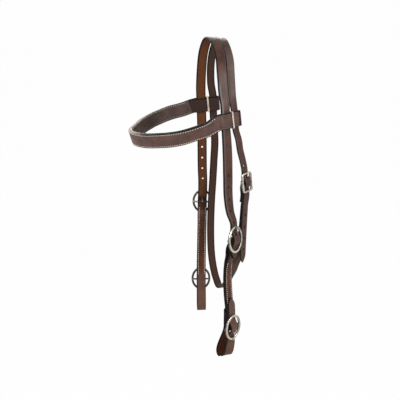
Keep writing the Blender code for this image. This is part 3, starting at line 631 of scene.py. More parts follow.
def crown_dye_and_highlights(rim, flesh, along, side):
    """Black front edge, a painted highlight stripe beside it on the near side and a painted highlight below
    the poll.
    """
    down = graded(along, [60, 80, 200, 225, 270, 290], [0.15, 0.3, 0.3, 1.0, 1.0, 0.0])
    stripe = graded(-side, [2.8, 5.0, FRONT_EDGE / mm, FRONT_EDGE / mm + 0.2], [0.0, 0.9, 0.9, 0.0]) * down
    bend = graded(along, [235, 262, 290, 305], [0.0, 0.22, 0.22, 0.0])
    # The black is carried onto the grain of the front edge: edge dye, and painted shade for the shadowed
    # thickness of that edge
    rim = np.where(-side > FRONT_EDGE, np.maximum(rim, 0.95), rim)
    return rim, np.maximum(stripe, bend) * on_grain(rim, flesh)


paint(crown_piece, crown_dye_and_highlights)
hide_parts("crown_strap")
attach(crown_piece, "root")


# Cheek straps: each one length of leather, folded double round its upper and lower buckle bars and
# sewn along both edges with cream waxed thread. The inner layer runs on round the bit loop and comes
# up through the lower buckle.

LOOP_DROP = 55.0 * mm
LOOP_DEPTH = 17.5 * mm
TURN_START = 4.0 * mm
TURN_END = 36.0 * mm
LOOP_PALE = 2.6 * LOOP_DROP
BILLET_RISE = 51.0 * mm
CHAPE_TUCK = 26.0 * mm
FOLD_SLACK = 4.5 * mm
STITCH_PITCH = 3.5 * mm
STITCH_LENGTH = 1.9 * mm
STITCH_SET_IN = 2.5 * mm
STITCH_SLANT = radians(10.0)
STITCH_TURNS = 8
THREAD_RADIUS = 0.52 * mm
THREAD_PROUD = 0.46 * mm
CHANNEL_HALF = 0.5 * mm
CHANNEL_DEPTH = 0.28 * mm
TONGUE_RADIUS = 1.0 * mm
SLOT_TURNS = 32
# How far in from the edge of the billet's tip it is black, and how far the painted highlight line inside the
# black reaches
TIP_BLACK = 1.7 * mm
TIP_PALE = 3.1 * mm
# The bit loop from the lower bar down (shares of its drop, shares of its depth), and up again in front
bulge_shares = [
    (0.15, 0.18), (0.33, 0.46), (0.50, 0.72), (0.67, 0.91),
    (0.82, 1.0), (0.93, 0.88), (0.985, 0.62), (1.0, 0.35),
]
heel_shares = [(0.985, 1.10), (0.955, 0.58), (0.90, 0.22), (0.80, 0.03), (0.66, 0.0)]
SEWN_CREASES = [(STITCH_SET_IN, CHANNEL_HALF, CHANNEL_DEPTH)]


def flipped(pairs, base):
    return [(base - d, n) for d, n in pairs]


class Bar:
    """Where a buckle's bar lies; ahead points the way its tongue does."""

    def __init__(self, line, d, way):
        self.flat, along, self.side, self.out = line.frame(d)
        self.ahead = along * way
        self.centre = self.flat + self.out * BAR_RISE


def open_slot(piece, bar):
    """Slot through the fold, where the tongue's eye goes round the bar."""
    half = TONGUE_RADIUS + LAYER_GAP * 1.5
    radius = FOLD_RADIUS + LEATHER / 2 + LAYER_GAP / 2
    bm = bmesh.new()
    ends = [bar.centre - bar.side * half, bar.centre + bar.side * half]
    skin(bm, [ring_round(end, bar.out, bar.ahead, radius, SLOT_TURNS) for end in ends])
    cut_black(piece, bm)


def sew(name, strap, runs, body, twine, rows=(-1.0, 1.0)):
    """Stitches with slightly sunk, tapered ends in the channels of a strap, over runs along it."""
    bm = bmesh.new()
    for start, stop in runs:
        for k in range(int((stop - start) / STITCH_PITCH)):
            middle = start + (k + 0.5) * STITCH_PITCH
            for side in rows:
                rings = []
                for share in (-1.0, -0.86, -0.5, 0.0, 0.5, 0.86, 1.0):
                    point, along, across, out = strap.frame(middle + share * STITCH_LENGTH / 2)
                    slant = share * sin(STITCH_SLANT) * STITCH_LENGTH / 2
                    x = side * (strap.width / 2 - STITCH_SET_IN) + slant
                    n = LEATHER / 2 + THREAD_PROUD - THREAD_RADIUS - abs(share) ** 3 * 1.1 * THREAD_RADIUS
                    radius = THREAD_RADIUS * (1.0 - 0.45 * abs(share) ** 4)
                    rings.append(ring_round(point + across * x + out * n, across, out, radius, STITCH_TURNS))
                skin(bm, rings)
    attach(finish_mesh(name, bm, twine, 60.0), body)


def waxed_thread(name, clean, wear_and_sheen):
    made = Finish(name)
    made.place = made.add("TexCoord", {}, 3)
    shade = made.noise(900.0, 3.0)
    age = made.noise(70.0, 3.0)
    colour = made.mix(made.spread(shade, 0.35, 0.7), clean, wear_and_sheen)
    colour = made.mix(made.spread(age, 0.5, 0.75, 0.0, 0.4), colour, darker(wear_and_sheen, 0.45))
    bump = made.add("Bump", {"Strength": 0.4, "Distance": 0.1 * mm, "Height": shade})
    made.join(made.shader, {"Base Color": colour, "Roughness": 0.6, "Normal": bump})
    return made.material


thread = waxed_thread("waxed_thread", (0.92, 0.85, 0.73), (0.74, 0.65, 0.53))
cheek_hide = hide(
    "cheek_leather", (0.130, 0.043, 0.021), (0.072, 0.029, 0.018), (0.110, 0.034, 0.014),
    rim=(0.006, 0.004, 0.004), wear_and_sheen=0.15,
)


def turn_loop(cheek, bar, across):
    """Turns both strands of the bit loop to a new direction across, the lower below the bar the more."""
    below = bar.flat[2] - cheek.points[:, 2]
    share = np.clip((below - TURN_START) / (TURN_END - TURN_START), 0.0, 1.0)[:, None]
    cheek.across = cheek.across * (1.0 - share) + np.array(across) * share


def cheek_shade_and_highlights(cheek, fold_at, loop_at):
    def rule(rim, flesh, along, side):
        """Painted shade round the upper fold, black round the tip with a painted highlight line inside,
        paler down the loop.
        """
        tip = along > cheek.length - TIP_LENGTH - 2 * mm
        inset = np.array([cheek.half_width(d) for d in along]) - abs(side)
        rim = np.maximum(rim, graded(abs(along - fold_at), [20, 40], [0.72, 0.0]))
        rim = np.where(tip & (inset < TIP_BLACK), 1.0, rim)
        loop = graded(along - loop_at, [0, 10], [0.0, 0.2]) * (flesh < 0.5)
        return rim, np.where(tip & (inset > TIP_BLACK) & (inset < TIP_PALE), 0.6, loop) * (rim < 0.6)
    return rule


def cheek_path(drop):
    """(distance, rise) pairs of a cheek from its chape, over the bars and round the loop, to its tip."""
    stack = 3 * PITCH
    tuck = drop - CHAPE_TUCK
    path = list(reversed(flipped(oval_hump.fold(CHAPE_TUCK), drop)))
    path += oval_hump.fold(tuck - stack, FOLD_SLACK)
    path += ease((tuck - stack, -2 * PITCH), (tuck - PITCH, -stack))
    loop = [(drop, -stack, 0.0)]
    loop += [(drop + a * LOOP_DROP, -stack - b * (LOOP_DEPTH - stack), 0.0) for a, b in bulge_shares]
    loop += [(drop + a * LOOP_DROP, -b * stack, 0.0) for a, b in heel_shares]
    path += [(d, n) for d, n, _ in smooth_curve(loop)[0]]
    return path + flipped(oval_hump.whole(), drop) + [(drop - BILLET_RISE, 0.0)]


cheek_bars = {}
for hand, leg, foot_across in (("near", near_leg, (-0.12, 0.99, 0.0)), ("off", off_leg, (0.2, 0.98, 0.0))):
    upper = Bar(leg, leg.upper_bar, -1.0)
    lower = Bar(leg, leg.lower_bar, 1.0)
    cheek_bars[hand] = (upper, lower)
    drop = leg.lower_bar - leg.upper_bar
    cheek = Strap(leg.lay(cheek_path(drop), leg.upper_bar), CROWN_WIDTH, (False, True), leg.outward)
    turn_loop(cheek, lower, foot_across)
    piece = cut_strap(hand + "_cheek_strap_leather", cheek, cheek_hide, SEWN_STEP, SEWN_CREASES)
    pinned = leg.place(leg.lower_bar + PIN_DROP, oval_hump.pin[1])[0]
    punch(piece, cheek, [cheek.nearest(pinned, cheek.length - BILLET_RISE - HOLE_PITCH)], PINNED_WAIST)
    for bar in (upper, lower):
        open_slot(piece, bar)
    paint(piece, cheek_shade_and_highlights(cheek, cheek.nearest(upper.centre), cheek.length - BILLET_RISE - LOOP_PALE))
    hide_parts(hand + "_cheek_strap")
    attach(piece, hand + "_cheek")
    clear = OVAL_REACH + THREAD_RADIUS
    outer_low = cheek.nearest(leg.place(leg.lower_bar - clear, -PITCH)[0])
    outer_high = cheek.nearest(leg.place(leg.upper_bar + clear + 6 * STITCH_PITCH, -PITCH)[0], outer_low)
    inner_high = cheek.nearest(leg.place(leg.upper_bar + 0.5 * clear, -2 * PITCH)[0], outer_high)
    inner_low = cheek.nearest(leg.place(leg.lower_bar - 3 * STITCH_PITCH, -3 * PITCH)[0], inner_high)
    runs = [(outer_low, outer_high), (inner_high, inner_low)]
    sew(hand + "_cheek_thread", cheek, runs, hand + "_cheek", thread)


# Cheek buckles: four oval buckles of polished steel with a warm cast, each a half-round ring with a
# centre bar that drops behind the strap. A wire tongue is hooked round the bar and rests on the rim.

OVAL_WIDTH = 34.5 * mm
OVAL_HEIGHT = 43.5 * mm
RIM_WIDTH = 3.8 * mm
RIM_TURNS = 96
SECTION_TURNS = 20
TUBE_TURNS = 20
BAR_BEND = 1.7 * mm


def polished_steel():
    """Polished on the crest; duller and darker down the sides and at the back, left rough from the mould,
    with painted shade.
    """
    made = Finish("polished_steel")
    made.place = made.add("TexCoord", {}, 3)
    wear_and_glints = made.noise(260.0, 4.0)
    scratches = made.noise(1400.0, 3.0)
    tarnish = made.noise(90.0, 4.0)
    colour = made.mix(made.spread(tarnish, 0.42, 0.75), (0.58, 0.54, 0.45), (0.30, 0.26, 0.21))
    # The mottle paints bright glints into the darker parts, and varies the polish
    shade_and_dullness = made.sums("ADD", made.attribute("shade_and_dullness"), made.spread(wear_and_glints, 0.25, 0.75, -0.4, 0.18))
    colour = made.mix(made.spread(shade_and_dullness, 0.25, 0.8, 0.0, 0.96), colour, (0.030, 0.024, 0.020))
    metal = made.spread(shade_and_dullness, 0.3, 0.85, 1.0, 0.15)
    rough = made.sums("ADD", made.spread(wear_and_glints, 0.3, 0.75, 0.14, 0.30), made.spread(shade_and_dullness, 0.3, 0.9, 0.0, 0.2))
    bump = made.add("Bump", {"Strength": 0.12, "Distance": 0.05 * mm, "Height": scratches})
    made.join(made.shader, {"Base Color": colour, "Metallic": metal, "Roughness": rough, "Normal": bump})
    return made.material


steel = polished_steel()


def oval_outline():
    a, b = (OVAL_WIDTH - RIM_WIDTH) / 2, (OVAL_HEIGHT - RIM_WIDTH) / 2
    return [(a * cos(t), b * sin(t), cos(t) / a, sin(t) / b) for t in turns(RIM_TURNS)]


def tube(bm, path, origin, ahead, out, side, radii, flats=None):
    """Round wire bent in the plane of ahead and out, through (ahead, out) pairs."""
    path = np.array(path)
    runs = np.diff(path, axis=0)
    runs /= np.linalg.norm(runs, axis=1)[:, None]
    rings = []
    for i, (u, v) in enumerate(path):
        mean = unit(runs[max(i - 1, 0)] + runs[min(i, len(runs) - 1)])
        flat = flats[i] if flats is not None else 1.0
        centre = origin + ahead * u + out * v
        rise = (out * mean[0] - ahead * mean[1]) * flat
        rings.append(ring_round(centre, rise, side, radii[i], TUBE_TURNS))
    skin(bm, rings)


def fuller(share, power):
    """A share of a half width, pushed out for a section squarer than a circle."""
    return abs(share) ** power * (1 if share > 0 else -1)


def cast_frame(name, bar, outline, width, rim, node, body):
    """Half-round ring in front of the strap, with a bar across it that drops behind the strap."""
    w, t = rim / 2, RIM_THICKNESS / 2
    section = []
    for a in turns(SECTION_TURNS):
        square_wide, square_high = (0.55, 0.8) if sin(a) > 0 else (0.4, 0.4)
        section.append((w * fuller(cos(a), square_wide), t * fuller(sin(a), square_high)))
    centre = bar.flat + bar.out * RIM_RISE
    rings, frame_shading = [], []
    for u, v, nu, nv in outline:
        nu, nv = nu / hypot(nu, nv), nv / hypot(nu, nv)
        rings.append([
            centre + bar.side * (u + nu * a) + bar.ahead * (v + nv * a) + bar.out * b for a, b in section
        ])
        # The rear half of the ring is painted in shade, all but a thin line on its inner edge
        dark = 0.85 * max(0.0, nu)
        frame_shading += [min(1.0, max(0.0, 1.0 - b / t, dark * min(1.0, 1.1 + a / w))) for a, b in section]
    bm = bmesh.new()
    skin(bm, rings, closed=True)
    piece = finish_mesh(name, bm, steel)
    tag(piece.data, "shade_and_dullness", frame_shading)
    post = (width - rim) / 2
    corner = post - BAR_BEND, BAR_RISE + BAR_BEND
    quarter = np.linspace(0, pi / 2, 7)
    right = [(corner[0] + BAR_BEND * sin(a), corner[1] - BAR_BEND * cos(a)) for a in quarter]
    right.append((post, RIM_RISE))
    path = [(-u, v) for u, v in reversed(right)] + right
    bm = bmesh.new()
    tube(bm, path, bar.flat, bar.side, bar.out, bar.ahead, [BAR_RADIUS] * len(path))
    post_bar = finish_mesh("bar", bm, steel)
    tag(post_bar.data, "shade_and_dullness", [0.75] * len(post_bar.data.vertices))
    carve(piece, post_bar, "UNION")
    piece.data.shade_smooth()
    piece.data.set_sharp_from_angle(angle=radians(50.0))
    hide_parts(node)
    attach(piece, body)


def wire_tongue(name, bar, hump, height, rim, tongue_shading, node, body):
    """Wire hooked round the bar, up through the strap's hole and over the rim, flatter to its point."""
    hook = BAR_RADIUS + 0.7 * LAYER_GAP + TONGUE_RADIUS
    over = RIM_RISE + RIM_THICKNESS / 2 + LAYER_GAP + TONGUE_RADIUS
    eye = [(hook * cos(a), BAR_RISE + hook * sin(a)) for a in np.linspace(radians(30.0), radians(305.0), 30)]
    pin, slant = np.array(hump.pin), hump.slant
    tip = height / 2 + TONGUE_RADIUS
    shank = [
        eye[-1],
        tuple(pin - slant * LEATHER / 2),
        tuple(pin + slant * LEATHER / 2),
        tuple(pin + slant * LEATHER * 1.6),
        (height / 2 - rim, over),
        (tip - TONGUE_RADIUS, over - TONGUE_RADIUS * 0.15),
    ]
    smooth = [tuple(p[:2]) for p in smooth_curve([(u, v, 0.0) for u, v in shank])[0]]
    nose = [(tip - TONGUE_RADIUS * (1 - s), over - TONGUE_RADIUS * 0.3 * s) for s in (0.4, 0.75, 0.93, 1.0)]
    path = eye + smooth[1:] + nose
    radii = [TONGUE_RADIUS] * (len(path) - 4) + [TONGUE_RADIUS * r for r in (0.95, 0.78, 0.5, 0.2)]
    reach = np.array([p[0] for p in path])
    flats = 1.0 - 0.25 * np.clip((reach - pin[0] - LEATHER) / (tip - pin[0] - LEATHER), 0.0, 1.0)
    bm = bmesh.new()
    tube(bm, path, bar.flat, bar.ahead, bar.out, bar.side, radii, flats)
    piece = finish_mesh(name, bm, steel, 60.0)
    tag(piece.data, "shade_and_dullness", [tongue_shading] * len(piece.data.vertices))
    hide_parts(node)
    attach(piece, body)


# The upper tongues are painted in shade, as they lie in the strap's shade; the lower ones stay bright
for hand, (upper, lower) in cheek_bars.items():
    for level, bar, body, tongue_shading in (("upper", upper, "root", 0.85), ("lower", lower, hand + "_cheek", 0.35)):
        stem = hand + "_" + level + "_buckle"
        cast_frame(stem + "_ring", bar, oval_outline(), OVAL_WIDTH, RIM_WIDTH, stem + "_frame", body)
        tongue = hand + "_" + level + "_tongue"
        wire_tongue(stem + "_wire", bar, oval_hump, OVAL_HEIGHT, RIM_WIDTH, tongue_shading, stem + "_tongue", tongue)


# Throat strap: one narrower, darker strap. It is folded round its buckle's bar on the near side, goes
# down under the jaw, up the off side, over the poll beside the crown strap and down to the buckle
# again, where its pointed tail hangs free.

THROAT_WIDTH = 12.7 * mm
THROAT_TAIL = 134.0 * mm
THROAT_CHAPE = 34.0 * mm
TAIL_HOLES = 4
TAIL_WAIST = 0.35 * mm
BOX_WIDTH = 21.0 * mm
BOX_HEIGHT = 32.0 * mm
BOX_CORNER = 4.0 * mm
BOX_RIM_WIDTH = 3.2 * mm
BOX_REACH = 11.6 * mm
THROAT_BAR_ROW = 15
# The strap's line from the poll down the near side and round the jaw back to the poll, in mm, and the
# direction across it; then the line of the part that ends in the tail
throat_rows = [
    (0, 13.8, -0.65, 0, 1),
    (24.04, 12.6, -4.79, -0.0053, 0.9999, -0.0121),
    (38.14, 12.8, -14.35, -0.029, 0.9992, -0.0258),
    (49.58, 13.1, -29.1, -0.04, 0.9963, -0.0758),
    (54.02, 12.9, -44.95, -0.05, 0.9976, -0.0462),
    (57.41, 13.2, -62.79, -0.06, 0.9965, -0.0563),
    (60.0, 14.0, -80.41, -0.16, 0.9871, -0.0123),
    (59.9, 17.6, -101.2, -0.4, 0.9165, -0.0033),
    (60.65, 18.84, -115.22, -0.4192, 0.9079, -0.0033),
    (62.04, 19.43, -129.24, -0.4192, 0.9079, -0.0033),
    (69.43, 22.3, -146.11, -0.4195, 0.9078),
    (69.86, 24.64, -161, -0.4439, 0.8961),
    (70.21, 28.78, -177.05, -0.4679, 0.8838),
    (70.47, 31.74, -191.2, -0.4679, 0.8838),
    (70.47, 32.78, -201.6, -0.4679, 0.8838),
    (70.47, 33.82, -212, -0.4679, 0.8838),
    (70.47, 34.86, -222.4, -0.4679, 0.8838),
    (70.47, 35.9, -232.8, -0.4679, 0.8838),
    (71.34, 33.82, -249.93, -0.4917, 0.8708),
    (70.04, 33.1, -267.97, -0.4917, 0.8708),
    (67.16, 32.3, -294, -0.4, 0.9165),
    (62.21, 31.3, -329.06, -0.139, 0.9903),
    (59.16, 28.2, -346.07, -0.0349, 0.9994),
    (54.38, 25.3, -357.96, 0, 1),
    (48.98, 23.7, -369.03, 0, 1),
    (42.37, 22, -378.66, -0.035, 0.9994),
    (34.8, 20.2, -388.71, -0.07, 0.9976),
    (25.4, 18.52, -399.98, -0.0972, 0.9953),
    (14.62, 16.54, -410.64, -0.0487, 0.9988),
    (3.05, 15.46, -416.38, 0, 1),
    (-7.83, 15.28, -417, 0, 1),
    (-19.58, 15.82, -413.39, 0.0209, 0.9998),
    (-30.02, 15.82, -407.99, 0.0419, 0.9991),
    (-39.15, 16.18, -401.67, 0.0732, 0.9973),
    (-47.85, 16, -389.95, 0.1045, 0.9945),
    (-55.68, 16, -371.92, 0.1357, 0.9907),
    (-60.03, 16.36, -355.1, 0.1564, 0.9877),
    (-64.55, 17.44, -319.04, 0.1668, 0.986),
    (-66.9, 19.24, -283.88, 0.1668, 0.986),
    (-68.21, 21.94, -245.11, 0.1668, 0.986),
    (-67.51, 23.38, -212.06, 0.1668, 0.986),
    (-65.69, 24.28, -176.9, 0.1668, 0.986),
    (-64.38, 23.02, -160.37, 0.1668, 0.986),
    (-67.23, 21.84, -128.35, 0.1745, 0.9838, 0.041),
    (-65.9, 21.02, -114.33, 0.1745, 0.9838, 0.041),
    (-64.57, 20.2, -100.32, 0.1745, 0.9838, 0.041),
    (-62.86, 16.33, -80.1, 0.1221, 0.9925, 0.006),
    (-59.85, 14.67, -62.15, 0.0874, 0.9961, -0.0153),
    (-55.72, 14.13, -44.52, 0.0571, 0.9982, -0.0179),
    (-50.73, 14.71, -28.75, 0.0137, 0.9986, -0.052),
    (-38.91, 15.11, -14.08, 0.0142, 0.9999, -0.0077),
    (-24.38, 15.1, -4.68, 0.0021, 1, -0.0047),
    (0, 13.8, -0.65, 0, 1),
]
tail_rows = throat_rows[:19] + [
    (70.9, 33.2, -268, -0.4917, 0.8708),
    (70.6, 32.6, -290, -0.4917, 0.8708),
    (70.5, 32, -312, -0.4917, 0.8708),
    (70.5, 31.4, -335, -0.4917, 0.8708),
    (70.5, 31, -360, -0.4917, 0.8708),
]
throat_hide = hide("throat_leather", (0.100, 0.049, 0.036), (0.062, 0.034, 0.027), (0.066, 0.032, 0.021))
sideways = (1.0, 0.0, 0.0)
throat_line = Line(in_metres(throat_rows), 1.0, start_tangent=sideways, end_tangent=sideways)
tail_line = Line(in_metres(tail_rows), 1.0, start_tangent=sideways)
throat_at = throat_line.row_reach[THROAT_BAR_ROW]
throat_bar = Bar(throat_line, throat_at, -1.0)
box_hump = Hump(BOX_REACH)
chape = [(THROAT_CHAPE, -2 * PITCH)] + list(reversed(box_hump.fold(THROAT_CHAPE)))[1:]
under = chape + [(THROAT_TAIL, -PITCH), (THROAT_TAIL * 1.5, 0.0), (throat_line.length - throat_at, 0.0)]
over = [(-throat_at, 0.0)] + box_hump.whole() + [(THROAT_TAIL, 0.0)]
placed = throat_line.lay(under, throat_at) + tail_line.lay(over, throat_at)
throat = Strap(placed, THROAT_WIDTH, (False, True), -1.0)
throat_piece = cut_strap("throat_strap_leather", throat, throat_hide)
pinned = throat_line.place(throat_at - PIN_DROP, box_hump.pin[1])[0]
spot = throat.nearest(pinned, throat.length - THROAT_TAIL - HOLE_PITCH)
tail_holes = [throat.length - TIP_LENGTH - HOLE_PITCH * (k + 0.5) for k in range(TAIL_HOLES)]
punch(throat_piece, throat, [spot - HOLE_PITCH] + tail_holes, TAIL_WAIST)
punch(throat_piece, throat, [spot], PINNED_WAIST)
open_slot(throat_piece, throat_bar)


def throat_highlight(rim, flesh, along, side):
    """Painted highlight where the strap bends over the poll and down the near side."""
    top = throat.length - THROAT_TAIL - throat_at
    return rim, graded(along - top, [30, 50, 105, 125], [0.0, 0.30, 0.30, 0.0]) * on_grain(rim, flesh)


paint(throat_piece, throat_highlight)
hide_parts("throat_strap")
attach(throat_piece, "root")


# Throat buckle: a small rectangular steel buckle with round corners and a bar across its middle, cast
# and polished as the oval ones are.

CORNER_STEPS = 8


def round_box(a, b, r):
    """Points (u, v) of a box with round corners, from half sizes, and the direction each faces."""
    points = []
    for quarter, (right, up) in enumerate(((1, 1), (-1, 1), (-1, -1), (1, -1))):
        for k in range(CORNER_STEPS + 1):
            t = pi / 2 * (quarter + k / CORNER_STEPS)
            points.append((right * (a - r) + r * cos(t), up * (b - r) + r * sin(t), cos(t), sin(t)))
    return points


box_outline = round_box(
    (BOX_WIDTH - BOX_RIM_WIDTH) / 2, (BOX_HEIGHT - BOX_RIM_WIDTH) / 2, BOX_CORNER - BOX_RIM_WIDTH / 2
)
cast_frame(
    "throat_buckle_ring", throat_bar, box_outline, BOX_WIDTH, BOX_RIM_WIDTH, "throat_buckle_frame", "root"
)
wire_tongue(
    "throat_buckle_wire", throat_bar, box_hump, BOX_HEIGHT, BOX_RIM_WIDTH, 0.5, "throat_buckle_tongue",
    "throat_tongue",
)


# Browband: a chestnut face sewn to a dark lining, leaning outward in front. The face goes on past the
# lining at each end and folds back behind the straps, so that they pass through it.

BROW_HEIGHT = 23.5 * mm
LOOP_LANE = 5.6 * mm
DIVIDER_ROOM = 2.5 * mm
SLOT_ROOM = 1.1 * mm
SLOT_NOSE = 4.6 * mm
PINCH = 1.9 * mm
BROW_RETURN = 3.0 * mm
LACE_WIDTH = 2.8 * mm
LACE_THICKNESS = 0.9 * mm
LOOP_RISE = LEATHER + SLOT_ROOM
BROW_LANE = CROWN_WIDTH / 2 + LOOP_LANE + THROAT_WIDTH / 2
FOLD_SET_BACK = BROW_LANE + THROAT_WIDTH / 2 - LEATHER / 4
DIVIDER = BROW_LANE - THROAT_WIDTH / 2 - DIVIDER_ROOM
# The band's line from the near side round the front to the off side, in mm, and its direction up
near_band_rows = [
    (58.12, 23.93, -113.71, -0.0983, -0.0417, 0.9943),
    (64.3, 10.78, -114.53, -0.0983, -0.0417, 0.9943),
    (68.99, 0.77, -115.15, -0.0983, -0.0417, 0.9943),
    (74.33, -10.59, -115.86, -0.0983, -0.0417, 0.9943),
]
front_band_rows = [
    (79.49, -29.04, -123.52, 0.1331, -0.0003, 0.9911),
    (81.69, -48.96, -128.4, 0.2923, -0.0063, 0.9563),
    (78.51, -69, -134.19, 0.2912, -0.0264, 0.9563),
    (74.01, -79.03, -136.69, 0.2884, -0.0481, 0.9563),
    (66.5, -89.05, -139.19, 0.2801, -0.084, 0.9563),
    (57.02, -98.95, -141.39, 0.257, -0.1393, 0.9563),
    (44.03, -108.97, -144.1, 0.1995, -0.2137, 0.9563),
    (28.02, -118.99, -146.3, 0.099, -0.2751, 0.9563),
    (14.7, -125.67, -146.85, 0.0271, -0.2911, 0.9563),
]
off_band_rows = [
    (-71.64, -10.86, -116.41, 0.0944, -0.0581, 0.9938),
    (-69.37, 1.44, -115.15, 0.0944, -0.0581, 0.9938),
    (-67.38, 12.27, -114.04, 0.0944, -0.0581, 0.9938),
    (-64.77, 26.51, -112.58, 0.0944, -0.0581, 0.9938),
]
mirrored = [(-x, y, z, -a, b, c) for x, y, z, a, b, c in reversed(front_band_rows)]
middle = [(0, -128.5, -147, 0, -0.2924, 0.9563)]
brow_line = Line(in_metres(near_band_rows + front_band_rows + middle + mirrored + off_band_rows), -1.0)
# Pale colour of the painted highlight on the browband's top edge
PAINTED_EDGE_HIGHLIGHT = (0.60, 0.53, 0.44)
# The face's flesh colour is dark: it stands as painted shade inside the folded-back ends
brow_hide = hide(
    "brow_leather", (0.142, 0.077, 0.063), (0.092, 0.055, 0.047), (0.048, 0.026, 0.021), pale=PAINTED_EDGE_HIGHLIGHT
)
lining_hide = hide(
    "lining_leather", (0.098, 0.060, 0.050), (0.064, 0.042, 0.036), (0.056, 0.033, 0.029), wear_and_sheen=0.9,
    pale=PAINTED_EDGE_HIGHLIGHT,
)


def loop_profile():
    """Face over the throat strap, the divider and the crown strap, then in to the lining."""
    pinch = LEATHER / 2 + PINCH
    divider = FOLD_SET_BACK - DIVIDER
    flat = LACE_WIDTH / 2 + LAYER_GAP
    slope = LOOP_LANE / 2
    nose = FOLD_SET_BACK + CROWN_WIDTH / 2
    profile = [(0.0, LOOP_RISE)]
    profile += ease((divider - flat - slope, LOOP_RISE), (divider - flat, pinch))
    profile += ease((divider + flat, pinch), (divider + flat + slope, LOOP_RISE))
    return profile + ease((nose, LOOP_RISE), (nose + SLOT_NOSE * 1.4, PITCH / 2))


outside = loop_profile()
joined = outside[-1][0] + BROW_RETURN
inside = [(joined, -PITCH / 2)] + [(s, -n) for s, n in reversed(outside)]
bend = arc((0.0, 0.0), LOOP_RISE, -pi, 0.0)[1:-1]
near_end = inside + bend + outside
off_end = list(reversed(flipped(near_end, brow_line.length)))
face = Strap(brow_line.lay(near_end + off_end), BROW_HEIGHT)
butt = joined + LAYER_GAP
placed = brow_line.lay([(butt, -PITCH / 2), (brow_line.length - butt, -PITCH / 2)])
lining = Strap(placed, BROW_HEIGHT, grain=-1.0)
face_piece = cut_strap("browband_face_leather", face, brow_hide, SEWN_STEP, SEWN_CREASES)
lining_piece = cut_strap("browband_lining_leather", lining, lining_hide, SEWN_STEP, SEWN_CREASES)


def brow_edge_highlight(rim, flesh, along, side):
    """Painted highlight on the top edge where the band bends most in front."""
    past = along - along.max() / 2
    front = graded(past, [-40, -10, 60, 120], [0.0, 0.9, 0.9, 0.0])
    return rim, front * (side > 0.0) * (rim > 0.7)


paint(face_piece, brow_edge_highlight)
paint(lining_piece, brow_edge_highlight)
# The folded-back ends show their flesh side and are painted dark all round, as painted shade; the rest of
# the face isn't
turned = inside + bend
returned = LEATHER + sum(hypot(d1 - d0, n1 - n0) for (d0, n0), (d1, n1) in zip(turned, turned[1:]))
along = np.zeros(len(face_piece.data.vertices), np.float32)
face_piece.data.attributes["along"].data.foreach_get("value", along)
flesh_and_shade = np.maximum(along < returned, along > face.length - returned).astype(np.float32)
face_piece.data.attributes["flesh"].data.foreach_set("value", flesh_and_shade)
for piece, node, slot in (
    (face_piece, "browband_face", "brow_leather"), (lining_piece, "browband_lining", "lining_leather"),
):
    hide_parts(node)
    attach(piece, "browband")
ends = [face.nearest(brow_line.place(s, PITCH / 2)[0]) for s in (joined, brow_line.length - joined)]
sew("browband_face_thread", face, [tuple(ends)], "browband", thread)
lined = [(STITCH_PITCH, lining.length - STITCH_PITCH)]
for row, side, clean, wear_and_sheen in (
    ("top", 1.0, (0.58, 0.51, 0.43), (0.42, 0.35, 0.28)),
    ("bottom", -1.0, (0.34, 0.27, 0.21), (0.20, 0.145, 0.11)),
):
    twine = waxed_thread(row + "_lining_thread", clean, wear_and_sheen)
    sew("browband_lining_" + row + "_thread", lining, lined, "browband", twine, (side,))


# Lace bindings: cream rawhide lace, wound round both layers of each browband end between the crown
# strap's slot and the throat strap's, and glued to itself inside.

LACE_TURNS = 16


def cream_lace():
    made = Finish("cream_lace")
    made.place = made.add("TexCoord", {}, 3)
    fibre = made.noise(700.0, 4.0)
    soil = made.noise(120.0, 4.0)
    colour = made.mix(made.spread(fibre, 0.35, 0.7), (0.68, 0.60, 0.50), (0.52, 0.44, 0.35))
    colour = made.mix(made.spread(soil, 0.48, 0.75, 0.0, 0.6), colour, (0.33, 0.24, 0.17))
    bump = made.add("Bump", {"Strength": 0.35, "Distance": 0.1 * mm, "Height": fibre})
    made.join(made.shader, {"Base Color": colour, "Roughness": 0.55, "Normal": bump})
    return made.material


lace = cream_lace()


def bind(name, s, node):
    """A closed turn of lace round the browband at distance s."""
    point, along, up, out = brow_line.frame(s)
    deep = LEATHER + PINCH + 2 * LAYER_GAP + LACE_THICKNESS / 2
    high = BROW_HEIGHT / 2 + LAYER_GAP + LACE_THICKNESS / 2
    section = [
        (LACE_WIDTH / 2 * fuller(cos(a), 0.45), LACE_THICKNESS / 2 * fuller(sin(a), 0.7))
        for a in turns(LACE_TURNS)
    ]
    rings = []
    for n, h, facing_out, facing_up in round_box(deep, high, LEATHER / 2):
        radial = out * facing_out + up * facing_up
        rings.append([point + out * n + up * h + along * p + radial * q for p, q in section])
    bm = bmesh.new()
    skin(bm, rings, closed=True)
    piece = finish_mesh(name, bm, lace)
    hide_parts(node)
    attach(piece, "browband")


for hand, s in (("near", FOLD_SET_BACK - DIVIDER), ("off", brow_line.length - FOLD_SET_BACK + DIVIDER)):
    bind(hand + "_browband_lace", s, hand + "_browband_binding")


# Studio: a pale floor a metre and a half below the poll, soft lamps, a white surround and a camera at
# the photograph's viewing angle. The camera sees the floor and the surround as white.

FLOOR_DROP = 1.5
FLOOR_HALF = 60.0
TARGET = (0.0, -0.0197, -0.2587)
DISTANCE = 1.235
AZIMUTH, ELEVATION = radians(74.7), radians(17.8)
FOCAL_LENGTH = 68.0
SENSOR = 36.0
FLOOR_WHITE = 0.98
SURROUND_LIGHT = 0.46
WHITE = (1.0, 1.0, 1.0)


class Surround(Finish):
    """The nodes of the world, built as a material's are."""

    def __init__(self, name):
        self.world = bpy.data.worlds.new(name)
        self.world.use_nodes = True
        self.tree = self.world.node_tree
        self.tree.nodes.clear()


def seen_share(made):
    """1 for the rays of the camera and for those seen in gloss or through a surface."""
    path = made.tree.nodes.new("ShaderNodeLightPath")
    either = made.sums("MAXIMUM", path.outputs["Is Camera Ray"], path.outputs["Is Glossy Ray"])
    return made.sums("MAXIMUM", either, path.outputs["Is Transmission Ray"])


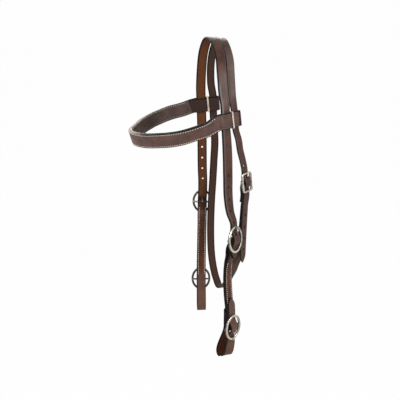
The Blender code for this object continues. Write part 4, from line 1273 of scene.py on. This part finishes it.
floor_mesh = bmesh.new()
bmesh.ops.create_grid(floor_mesh, x_segments=1, y_segments=1, size=FLOOR_HALF)
floor_finish = Finish("pale_floor")
floor_finish.tree.nodes.remove(floor_finish.shader)
matt = floor_finish.add("BsdfDiffuse", {"Color": (0.86, 0.86, 0.86)})
white = floor_finish.add("Emission", {"Color": WHITE, "Strength": 1.0})
share = floor_finish.sums("MULTIPLY", seen_share(floor_finish), FLOOR_WHITE)
output = floor_finish.tree.nodes["Material Output"]
floor_finish.join(output, {"Surface": floor_finish.add("MixShader", {0: share, 1: matt, 2: white})})
floor = finish_mesh("floor", floor_mesh, floor_finish.material)
floor.location.z = -FLOOR_DROP

studio = Surround("studio")
bpy.context.scene.world = studio.world
lit = studio.add("Background", {"Color": WHITE, "Strength": SURROUND_LIGHT})
white = studio.add("Background", {"Color": WHITE})
both = studio.add("MixShader", {0: seen_share(studio), 1: lit, 2: white})
studio.join(studio.tree.nodes.new("ShaderNodeOutputWorld"), {0: both})


def aim(piece, azimuth, elevation, distance):
    """Puts a lamp or camera round the target, looking at it."""
    back = np.array((sin(azimuth) * cos(elevation), -cos(azimuth) * cos(elevation), sin(elevation)))
    piece.location = tuple(np.array(TARGET) + back * distance)
    piece.rotation_euler = (pi / 2 - elevation, 0.0, azimuth)
    bpy.context.collection.objects.link(piece)


for name, azimuth, elevation, distance, size, power in (
    ("front_lamp", 25.0, 25.0, 1.6, 0.7, 13.0),
    ("side_lamp", 125.0, 15.0, 1.6, 0.6, 13.0),
    ("back_lamp", 260.0, 20.0, 1.8, 1.0, 10.0),
):
    lamp = bpy.data.lights.new(name, "AREA")
    lamp.shape = "DISK"
    lamp.size = size
    lamp.energy = power
    aim(bpy.data.objects.new(name, lamp), radians(azimuth), radians(elevation), distance)

lens = bpy.data.cameras.new("photo_camera")
lens.lens, lens.sensor_width, lens.sensor_height = FOCAL_LENGTH, SENSOR, SENSOR
lens.sensor_fit = "HORIZONTAL"
camera = bpy.data.objects.new("photo_camera", lens)
aim(camera, AZIMUTH, ELEVATION, DISTANCE)
scene = bpy.context.scene
scene.camera = camera
scene.view_settings.view_transform = "Standard"
